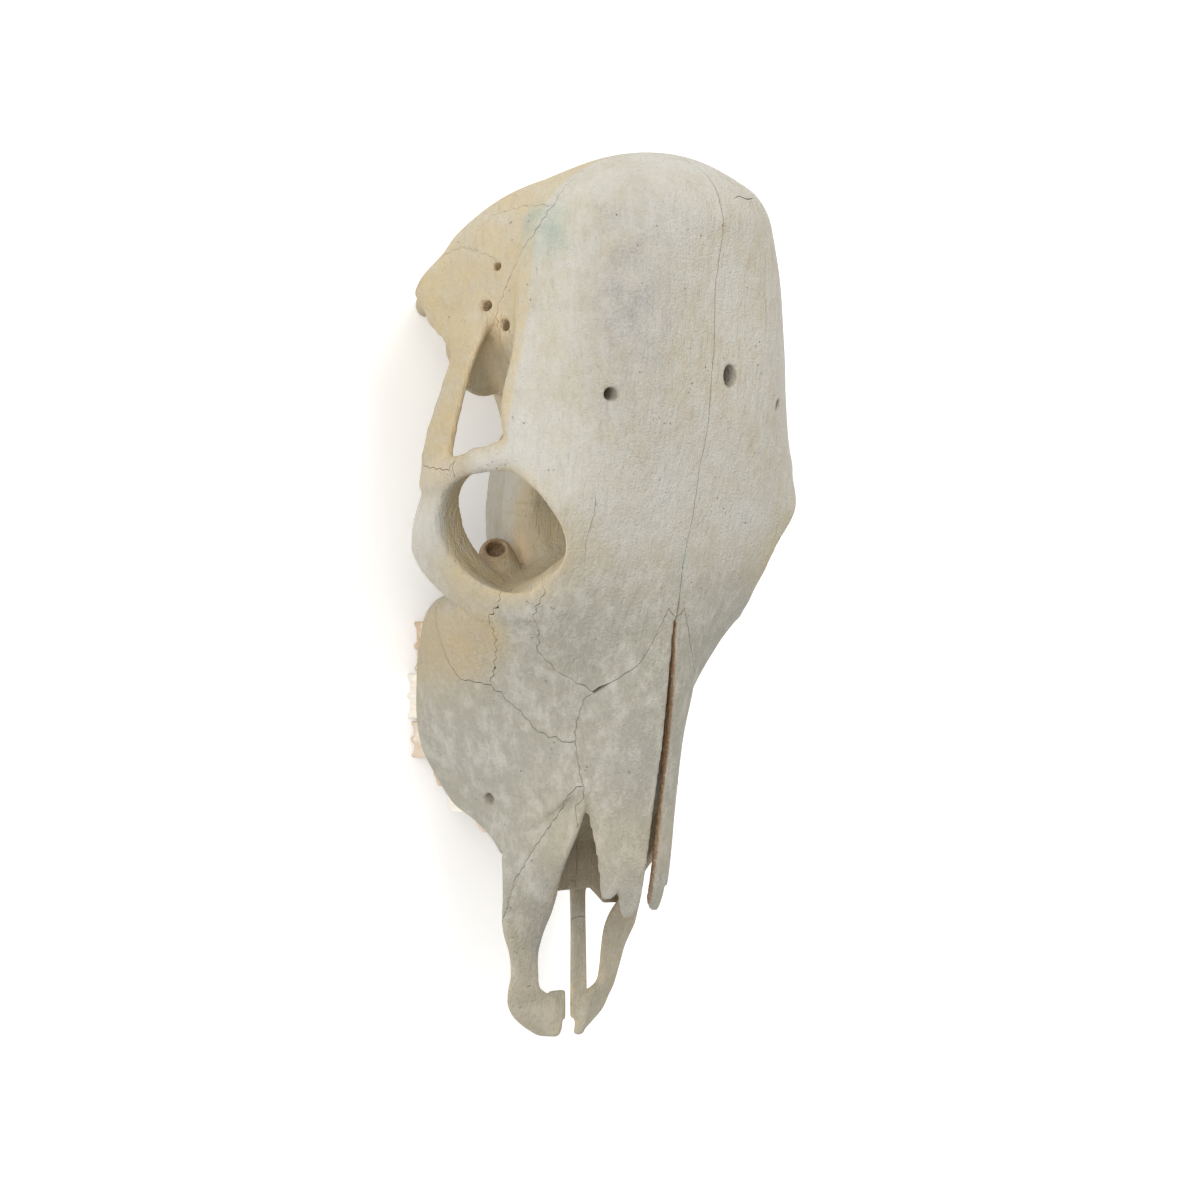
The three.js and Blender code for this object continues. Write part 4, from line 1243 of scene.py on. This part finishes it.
TEETH = (
    Tooth("p2", 111.8, 10.3, 9.5, 38.2, 27.3, 0.6),
    Tooth("p3", 122.6, 12.8, 13, 45.2, 13.3, 0.1),
    Tooth("p4", 136.2, 14.2, 16, 50.3, 8.3, 0.7),
    Tooth("m1", 153, 18.8, 20, 59.8, 1.8, 0.6),
    Tooth("m2", 174.8, 23, 21, 60.8, 0.3, 0.2),
    Tooth("m3", 199.8, 25.5, 20.2, 59.3, 4.3, 0.8),
)
TOOTH_STEP = 0.55


def tooth_piece(tooth: Tooth, side: Side) -> bpy.types.Object:
    """The surface of one tooth as a piece of its own.

    Args:
        tooth: Its sizes.
        side: The side of the head.

    Returns:
        The piece, shaded but without its material.
    """
    top = tooth.tip + 24
    low = (tooth.outer - tooth.width - 3, tooth.y - tooth.length / 2 - 3, tooth.tip - 3)
    high = (tooth.outer + 3, tooth.y + tooth.length / 2 + 3, top + 3)
    block = Sculpture(low, high, TOOTH_STEP)
    block.join(lambda s: overlap(tooth.shape(s), s.z - top, 1), low, high, SHARP)
    points, faces = block.surface()
    if side is Side.RIGHT:
        points = points * (-1, 1, 1)
        faces = [face[::-1] for face in faces]
    piece = mesh_object(f"tooth_{tooth.name}_{side.word}", points, faces)
    shade(piece, 60)
    return piece


def shade(piece: bpy.types.Object, angle: float) -> None:
    """Smooth shading with crisp edges.

    Args:
        piece: The piece to shade.
        angle: Edges sharper than this, in degrees, stay crisp.
    """
    bm = bmesh.new()
    bm.from_mesh(piece.data)
    limit = math.radians(angle)
    for face in bm.faces:
        face.smooth = True
    for edge in bm.edges:
        if len(edge.link_faces) == 2:
            edge.smooth = edge.calc_face_angle(0) < limit
    bm.to_mesh(piece.data)
    bm.free()


# Weathering, with painted light and shade, worked out for each point of the surface


def hill(value: Values, centre: float, width: float) -> Values:
    """A smooth bump of height 1."""
    return np.exp(-(((value - centre) / width) ** 2))


def store(mesh: bpy.types.Mesh, name: str, values: np.ndarray) -> None:
    """Stores a mask on a mesh, one value for each point."""
    layer = mesh.attributes.new(name, "FLOAT", "POINT")
    layer.data.foreach_set("value", values.astype(np.float32))


def weather_and_shade(piece: bpy.types.Object, head: Sculpture) -> None:
    """Stores masks on the piece: face and shade_brown for painted shade, hollow for painted shade and light,
    and tan, grey, green, seam and brown.

    Args:
        piece: One bone.
        head: The sculpted head, which tells how far below its surface a point lies.
    """
    mesh = piece.data
    count = len(mesh.vertices)
    co = np.empty(count * 3)
    mesh.vertices.foreach_get("co", co)
    p = co.reshape(-1, 3) / MM + (0, MIDDLE_Y, 0)
    normals = np.empty(count * 3)
    mesh.vertices.foreach_get("normal", normals)
    n = normals.reshape(-1, 3)
    x, y, z = p.T
    a = np.abs(x)
    # Warm stain on the temporal region, the arch, the eye socket, the cheek, the underside and the muzzle
    temporal_line = curve(y, (290, 345, 380, 410, 440), (119, 122, 123, 122, 120))
    fossa = rise(y, 286, 300) * rise(temporal_line - z, -1, 2)
    arch = rise(a, 84, 92) * rise(y, 262, 284) * rise(108 - z, 0, 10)
    socket = rise(42 - np.hypot(y - 256, (z - 98) * 0.9), 0, 12) * rise(96 - a, 0, 8)
    cheek = rise(a, 58, 72) * hill(y, 201, 22) * rise(96 - z, 0, 16)
    under = rise(-n[:, 2], 0.1, 0.7) * 0.5
    muzzle = 0.45 * rise(78 - y, 0, 40) + 0.3 * hill(y, 105, 18) * rise(z, 60, 90)
    tan = np.clip(0.85 * fossa + 0.5 * arch + 0.9 * socket + cheek + under + muzzle, 0, 1)
    # Grey on the forehead, along the right nasal bone and on the right incisive bone
    grey = 0.85 * hill(y, 362, 62) * hill(x, -49, 26) * rise(z, 135, 150)
    grey += 0.5 * hill(y, 130, 40) * hill(x, -14, 12) * rise(z, 95, 110)
    grey += 0.9 * hill(y, 55, 22) * hill(x, -25, 7)
    # Green at the temporal line and at the root of the nose
    green = hill(x, -73, 7) * hill(y, 398, 14) * rise(z, 108, 116)
    green += 0.5 * hill(x, 0, 1.6) * hill(y, 238, 22) * rise(z, 120, 130)
    # Dark inside the sutures and cracks, brown in the bulla and between the nasal bones
    seam = rise(-head.sample(p), 0.2, 1.0)
    brown = np.exp(-((a - 54) ** 2 + (y - 247) ** 2 + (z - 60) ** 2) / 170)
    brown += rise(5 - a, 0, 1) * rise(225 - y, 0, 8) * rise(np.abs(n[:, 0]), 0.4, 0.8) * rise(z, 95, 100)
    # How enclosed a point is, from the distances 3 and 9 mm above the surface; it places painted shade and
    # painted light in hollows
    near = head.sample(p + n * 3.0)
    far = head.sample(p + n * 9.0)
    hollow = np.clip(1 - 0.5 * (near / 3.0 + far / 9.0), 0, 1)
    # Painted shade: the face cooler and darker towards the front, and duller, darker bone inside the nose, on
    # the left incisive bone, the cheek and the arch
    face = rise(262 - y, 0, 60)
    shade_brown = rise(x, 6, 12) * rise(98 - z, -4, 6) * rise(122 - y, 0, 14) * rise(y, 30, 80)
    shade_brown += rise(30 - a, 0, 6) * rise(135 - y, 0, 10) * rise(y, 60, 80) * rise(92 - z, 0, 8)
    shade_brown += 0.55 * cheek + 0.32 * arch
    masks = {"face": face, "shade_brown": shade_brown, "tan": tan, "grey": grey, "green": green, "seam": seam,
             "brown": brown, "hollow": hollow}
    for name, values in masks.items():
        store(mesh, name, np.clip(values, 0, 1))


# Finishes


@dataclass(frozen=True)
class BoneFinish:
    """Colours and strengths of weathered bone, with colours for painted shade and painted light."""

    ivory: tuple = (0.415, 0.375, 0.29)
    pale: tuple = (0.465, 0.448, 0.40)
    tan: tuple = (0.45, 0.365, 0.215)
    grey: tuple = (0.255, 0.245, 0.235)
    shade: tuple = (0.29, 0.277, 0.225)
    # Painted shade inside the nose, on the left incisive bone, the cheek and the arch
    shade_brown: tuple = (0.30, 0.235, 0.145)
    # Painted light in the enclosed hollows of the warm areas
    hollow_lighting: tuple = (0.72, 0.56, 0.34)
    green: tuple = (0.29, 0.335, 0.28)
    # Painted shade in the other hollows
    dirt: tuple = (0.62, 0.48, 0.30)
    brown: tuple = (0.23, 0.125, 0.05)
    dark: tuple = (0.13, 0.085, 0.05)
    roughness: float = 0.66
    cloud_scale: float = 22
    patch_scale: float = 75
    pit_patch_scale: float = 90
    blotch_scale: float = 140
    pit_scale: float = 340
    grain_scale: float = 420
    chalk_scale: float = 480
    fine_scale: float = 900


@dataclass(frozen=True)
class EnamelFinish:
    """Colours of a cheek tooth."""

    white: tuple = (0.80, 0.77, 0.70)
    stain: tuple = (0.40, 0.26, 0.13)
    roughness: float = 0.38
    patch_scale: float = 90
    band_scale: float = 260


Socket = bpy.types.NodeSocket
Input = Socket | float


class Nodes:
    """Small helper to place and join shader nodes."""

    def __init__(self, tree: bpy.types.NodeTree) -> None:
        """Works in one tree."""
        self.tree = tree

    def add(self, kind: str, **settings) -> bpy.types.Node:
        """Adds a node and sets its fields.

        Args:
            kind: The node's type.
            settings: Its fields by name.

        Returns:
            The node.
        """
        node = self.tree.nodes.new(kind)
        for name, value in settings.items():
            setattr(node, name, value)
        return node

    def link(self, out: Socket, into: Socket) -> None:
        """Joins an output to an input."""
        self.tree.links.new(out, into)

    def attribute(self, name: str) -> Socket:
        """The value of a mask stored on the piece."""
        return self.add("ShaderNodeAttribute", attribute_name=name).outputs["Fac"]

    def math(self, operation: str, a: Input, b: Input = 0.0, clamp: bool = False) -> Socket:
        """A sum or product of two values, either of which can be an output.

        Args:
            operation: What is done.
            a: The first value.
            b: The second value.
            clamp: Whether the result is held between 0 and 1.

        Returns:
            The result.
        """
        node = self.add("ShaderNodeMath", operation=operation, use_clamp=clamp)
        for socket, value in zip(node.inputs, (a, b)):
            if isinstance(value, (int, float)):
                socket.default_value = value
            else:
                self.link(value, socket)
        return node.outputs[0]

    def times(self, a: Input, b: Input) -> Socket:
        """The product of two values."""
        return self.math("MULTIPLY", a, b)

    def plus(self, a: Input, b: Input, clamp: bool = False) -> Socket:
        """The sum of two values, held between 0 and 1 if clamped."""
        return self.math("ADD", a, b, clamp)

    def mix(self, factor: Input, a: Socket | tuple, b: Socket | tuple, blend: str = "MIX") -> Socket:
        """A mix of two colours, each a colour or an output.

        Args:
            factor: How much of the second colour is seen.
            a: The first colour.
            b: The second colour.
            blend: How the two are mixed.

        Returns:
            The mixed colour.
        """
        node = self.add("ShaderNodeMix", data_type="RGBA", blend_type=blend)
        for socket, value in ((node.inputs[0], factor), (node.inputs[6], a), (node.inputs[7], b)):
            if isinstance(value, tuple):
                socket.default_value = (*value, 1.0)
            elif isinstance(value, (int, float)):
                socket.default_value = value
            else:
                self.link(value, socket)
        return node.outputs[2]

    def noise(self, vector: Socket, scale: float, detail: float = 3.0, roughness: float = 0.5) -> Socket:
        """Noise of a given scale, per metre.

        Args:
            vector: The place.
            scale: Waves per metre.
            detail: Number of finer layers.
            roughness: Strength of the finer layers.

        Returns:
            Values around 0.5.
        """
        node = self.add("ShaderNodeTexNoise")
        node.inputs["Scale"].default_value = scale
        node.inputs["Detail"].default_value = detail
        node.inputs["Roughness"].default_value = roughness
        self.link(vector, node.inputs["Vector"])
        return node.outputs["Fac"]

    def ramp(self, value: Socket, low: float, high: float) -> Socket:
        """Maps a value so that low gives 0 and high gives 1.

        Args:
            value: The value.
            low: What gives 0.
            high: What gives 1.

        Returns:
            The mapped value.
        """
        node = self.add("ShaderNodeMapRange", clamp=True)
        node.inputs["From Min"].default_value = low
        node.inputs["From Max"].default_value = high
        self.link(value, node.inputs["Value"])
        return node.outputs[0]

    def stretched(self, vector: Socket, scale: tuple) -> Socket:
        """The same place with each axis scaled.

        Args:
            vector: The place.
            scale: Factor along each axis.

        Returns:
            The scaled place.
        """
        node = self.add("ShaderNodeMapping")
        node.inputs["Scale"].default_value = scale
        self.link(vector, node.inputs["Vector"])
        return node.outputs[0]


def group_outputs(tree: bpy.types.NodeTree, outputs: dict) -> None:
    """Gives a node group its outputs and joins them.

    Args:
        tree: The group.
        outputs: What each output shows, by name.
    """
    kinds = {"Color": "NodeSocketColor", "Roughness": "NodeSocketFloat", "Height": "NodeSocketFloat"}
    end = tree.nodes.new("NodeGroupOutput")
    for name in outputs:
        tree.interface.new_socket(name=name, in_out="OUTPUT", socket_type=kinds[name])
    for name, out in outputs.items():
        tree.links.new(out, end.inputs[name])


def bone_group(finish: BoneFinish) -> bpy.types.NodeTree:
    """Colour, roughness and relief of weathered bone, with painted shade and painted light.

    Args:
        finish: Its colours and strengths.

    Returns:
        The node group.
    """
    tree = bpy.data.node_groups.new("Weathered bone", "ShaderNodeTree")
    n = Nodes(tree)
    place = n.add("ShaderNodeTexCoord").outputs["Object"]
    cloud = n.noise(place, finish.cloud_scale, 4, 0.6)
    patch = n.noise(place, finish.patch_scale, 4, 0.6)
    fine = n.noise(place, finish.fine_scale, 3, 0.6)
    grain = n.noise(n.stretched(place, (1.0, 0.22, 1.0)), finish.grain_scale, 4, 0.65)
    colour = n.mix(n.ramp(cloud, 0.38, 0.66), finish.ivory, finish.pale)
    blotch = n.noise(n.stretched(place, (1.0, 0.6, 1.0)), finish.blotch_scale, 6, 0.7)
    colour = n.mix(n.times(n.ramp(blotch, 0.42, 0.62), 0.75), colour, finish.pale)
    # Painted shade over the face, stronger towards the front and broken up by the blotches
    face_shade = n.times(n.attribute("face"), n.plus(n.ramp(blotch, 0.62, 0.36), 0.35, True))
    colour = n.mix(n.times(face_shade, 0.85), colour, finish.shade)
    tan = n.times(n.attribute("tan"), n.plus(n.ramp(patch, 0.2, 0.8), 0.35, True))
    colour = n.mix(tan, colour, finish.tan)
    mottled = n.times(n.ramp(patch, 0.36, 0.72), n.ramp(fine, 0.3, 0.72))
    stained = n.plus(n.times(mottled, 1.2), 0.25, True)
    grey = n.times(n.attribute("grey"), stained)
    colour = n.mix(grey, colour, finish.grey)
    colour = n.mix(n.times(n.attribute("green"), n.ramp(patch, 0.3, 0.6)), colour, finish.green)
    # Painted light: enclosed hollows in the warm areas made brighter
    hollow_lighting = n.times(n.ramp(n.attribute("hollow"), 0.2, 0.7), n.attribute("tan"))
    colour = n.mix(n.times(hollow_lighting, 0.9), colour, finish.hollow_lighting)
    # Painted shade: other hollows darkened
    open_part = n.math("SUBTRACT", 1.0, n.attribute("tan"))
    dirt = n.times(n.ramp(n.attribute("hollow"), 0.4, 1.0), n.times(open_part, 0.6))
    colour = n.mix(dirt, colour, finish.dirt, "MULTIPLY")
    colour = n.mix(n.times(n.attribute("seam"), 0.9), colour, finish.dark)
    # Painted shade: duller, darker bone inside the nose, on the left incisive bone, the cheek and the arch
    colour = n.mix(n.times(n.attribute("shade_brown"), 0.8), colour, finish.shade_brown)
    rusty = n.times(n.attribute("brown"), n.plus(n.ramp(fine, 0.3, 0.6), 0.3, True))
    colour = n.mix(rusty, colour, finish.brown)
    pits = n.add("ShaderNodeTexVoronoi")
    pits.inputs["Scale"].default_value = finish.pit_scale
    n.link(place, pits.inputs["Vector"])
    core = n.math("SUBTRACT", 1.0, n.ramp(pits.outputs["Distance"], 0.05, 0.16))
    pit = n.times(core, n.ramp(n.noise(place, finish.pit_patch_scale, 2), 0.6, 0.7))
    colour = n.mix(n.times(pit, 0.7), colour, finish.dark)
    speckle = n.times(n.ramp(grain, 0.48, 0.78), 0.3)
    colour = n.mix(speckle, colour, finish.grey)
    chalk = n.times(n.ramp(n.noise(place, finish.chalk_scale, 4, 0.7), 0.5, 0.7), 0.3)
    colour = n.mix(chalk, colour, finish.pale)
    height = n.plus(n.times(fine, 0.35), n.times(grain, 0.65))
    height = n.math("SUBTRACT", height, n.times(pit, 0.9))
    rough = n.plus(n.times(grain, 0.18), finish.roughness - 0.08)
    group_outputs(tree, {"Color": colour, "Roughness": rough, "Height": height})
    return tree


def enamel_group(finish: EnamelFinish) -> bpy.types.NodeTree:
    """Colour, roughness and relief of cheek teeth.

    Args:
        finish: Their colours.

    Returns:
        The node group.
    """
    tree = bpy.data.node_groups.new("Tooth enamel", "ShaderNodeTree")
    n = Nodes(tree)
    place = n.add("ShaderNodeTexCoord").outputs["Object"]
    bands = n.noise(n.stretched(place, (1.0, 1.0, 0.3)), finish.band_scale, 4, 0.6)
    patch = n.noise(place, finish.patch_scale, 3)
    stain = n.times(n.attribute("stain"), n.plus(n.ramp(patch, 0.3, 0.6), 0.35, True))
    # Painted shade: stain colour in hollows
    hollow_lighting = n.times(n.ramp(n.attribute("hollow"), 0.25, 0.8), 0.8)
    colour = n.mix(n.math("MAXIMUM", stain, hollow_lighting), finish.white, finish.stain)
    colour = n.mix(n.times(n.ramp(bands, 0.5, 0.75), 0.3), colour, finish.stain)
    rough = n.plus(n.times(bands, 0.2), finish.roughness - 0.1)
    group_outputs(tree, {"Color": colour, "Roughness": rough, "Height": bands})
    return tree


def material(name: str, group: bpy.types.NodeTree, relief: float, subsurface: float) -> bpy.types.Material:
    """A material that takes colour, roughness and relief from a group.

    Args:
        name: The material's name.
        group: Node group with Color, Roughness and Height.
        relief: Depth of the relief in metres.
        subsurface: How much light goes under the surface.

    Returns:
        The material.
    """
    made = bpy.data.materials.new(name)
    made.use_nodes = True
    n = Nodes(made.node_tree)
    shader = made.node_tree.nodes["Principled BSDF"]
    source = n.add("ShaderNodeGroup", node_tree=group)
    bump = n.add("ShaderNodeBump")
    bump.inputs["Strength"].default_value = 0.9
    bump.inputs["Distance"].default_value = relief
    n.link(source.outputs["Height"], bump.inputs["Height"])
    n.link(source.outputs["Color"], shader.inputs["Base Color"])
    n.link(source.outputs["Roughness"], shader.inputs["Roughness"])
    n.link(bump.outputs["Normal"], shader.inputs["Normal"])
    shader.inputs["Subsurface Weight"].default_value = subsurface
    shader.inputs["Subsurface Radius"].default_value = (0.0010, 0.0008, 0.0006)
    shader.inputs["Subsurface Scale"].default_value = 1.0
    shader.inputs["IOR"].default_value = 1.5
    shader.inputs["Specular IOR Level"].default_value = 0.3
    return made


# The setting: floor, light and camera

FLOOR_SIZE = 6.0
FLOOR_GLOW = 0.22
SURROUND = 0.78
WARM = (1.0, 0.99, 0.97)
COOL = (0.98, 0.99, 1.0)


@dataclass(frozen=True)
class Viewpoint:
    """The place from which the skull is seen."""

    target: tuple = (-13.8, 221.9, 95.5)
    turn: float = 41.0
    tilt: float = 0.7
    distance: float = 1600.0
    pixels_per_mm: float = 2.04
    sensor: float = 36.0
    frame_pixels: int = 1200

    def axes(self) -> tuple[np.ndarray, np.ndarray, np.ndarray]:
        """Right, up and towards the camera.

        Returns:
            Three unit vectors.
        """
        t, b = math.radians(self.turn), math.radians(self.tilt)
        up = np.array([0, math.cos(b), math.sin(b)])
        over = np.array([0, -math.sin(b), math.cos(b)])
        side = np.array([1.0, 0, 0])
        return side * math.cos(t) + over * math.sin(t), up, over * math.cos(t) - side * math.sin(t)


def set_camera(view: Viewpoint) -> None:
    """Places the camera over the skull's right side, with the nose at the bottom of the picture.

    Args:
        view: The place from which the skull is seen.
    """
    right, up, back = view.axes()
    place = np.array(view.target) + back * view.distance - (0, MIDDLE_Y, 0)
    data = bpy.data.cameras.new("camera")
    data.sensor_width = view.sensor
    data.lens = view.sensor * view.pixels_per_mm * view.distance / view.frame_pixels
    data.clip_start = 0.05
    data.clip_end = 20
    camera = bpy.data.objects.new("camera", data)
    rows = Matrix([[right[i], up[i], back[i], place[i] * MM] for i in range(3)] + [[0, 0, 0, 1]])
    camera.matrix_world = rows
    bpy.context.scene.collection.objects.link(camera)
    bpy.context.scene.camera = camera


def set_floor() -> bpy.types.Object:
    """A wide pale floor at height 0.

    Returns:
        The floor as an object.
    """
    bm = bmesh.new()
    bmesh.ops.create_grid(bm, x_segments=1, y_segments=1, size=FLOOR_SIZE)
    mesh = bpy.data.meshes.new("floor")
    bm.to_mesh(mesh)
    bm.free()
    floor = bpy.data.objects.new("floor", mesh)
    bpy.context.scene.collection.objects.link(floor)
    pale = bpy.data.materials.new("pale floor")
    pale.use_nodes = True
    shader = pale.node_tree.nodes["Principled BSDF"]
    shader.inputs["Base Color"].default_value = (0.95, 0.95, 0.95, 1)
    shader.inputs["Roughness"].default_value = 0.9
    shader.inputs["Specular IOR Level"].default_value = 0.1
    shader.inputs["Emission Color"].default_value = (1.0, 1.0, 1.0, 1)
    shader.inputs["Emission Strength"].default_value = FLOOR_GLOW
    mesh.materials.append(pale)
    return floor


def area_light(name: str, place: tuple, aim: tuple, size: float, power: float, colour: tuple) -> None:
    """A soft square light aimed at a point.

    Args:
        name: The light's name.
        place: Where it hangs, in metres.
        aim: The point that it faces.
        size: Length of its sides.
        power: Its power in watts.
        colour: Its colour.
    """
    data = bpy.data.lights.new(name, "AREA")
    data.size = size
    data.energy = power
    data.color = colour
    lamp = bpy.data.objects.new(name, data)
    lamp.location = place
    lamp.rotation_euler = (Vector(aim) - Vector(place)).to_track_quat("-Z", "Y").to_euler()
    bpy.context.scene.collection.objects.link(lamp)


def set_light() -> None:
    """Soft light from above and a bright surround, as in a light tent."""
    world = bpy.data.worlds.new("surround")
    world.use_nodes = True
    background = world.node_tree.nodes["Background"]
    background.inputs["Color"].default_value = (1.0, 0.995, 0.985, 1)
    background.inputs["Strength"].default_value = SURROUND
    bpy.context.scene.world = world
    area_light("main", place=(0.1, 1.25, 1.5), aim=(0, 0.05, 0.08), size=1.0, power=19, colour=WARM)
    area_light("fill", place=(-1.4, 0.1, 1.0), aim=(0, 0, 0.08), size=1.2, power=15, colour=COOL)
    bpy.context.scene.view_settings.view_transform = "Standard"


def main() -> None:
    """Builds the skull, its setting and its finishes."""
    logging.basicConfig(level=logging.INFO)
    head = sculpt_head()
    points, faces = head.surface()
    log.info("surface of %d points", len(points))
    body = mesh_object("body", points, faces)
    pieces = part_bones(body)
    bone = material("weathered bone", bone_group(BoneFinish()), relief=0.003, subsurface=0.05)
    enamel = material("tooth enamel", enamel_group(EnamelFinish()), relief=0.0005, subsurface=0.1)
    rng = np.random.default_rng(SEED + 3)
    for crack in CRACKS:
        crack.cut(pieces[crack.bone], rng)
    for name, piece in pieces.items():
        keep_largest(piece)
        shade(piece, 50)
        weather_and_shade(piece, head)
        piece.data.materials.clear()
        piece.data.materials.append(bone)
        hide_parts(name)
        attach(piece, "root")
        log.info("%s has %d faces", name, len(piece.data.polygons))
    for tooth in TEETH:
        for side in Side:
            piece = tooth_piece(tooth, side)
            for mask, value in (("stain", tooth.stain), ("hollow", 0.0)):
                store(piece.data, mask, np.full(len(piece.data.vertices), value))
            piece.data.materials.append(enamel)
            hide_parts(f"maxilla_{side.word}")
            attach(piece, "root")
    set_floor()
    set_light()
    set_camera(Viewpoint())


if __name__ == "__main__":
    main()
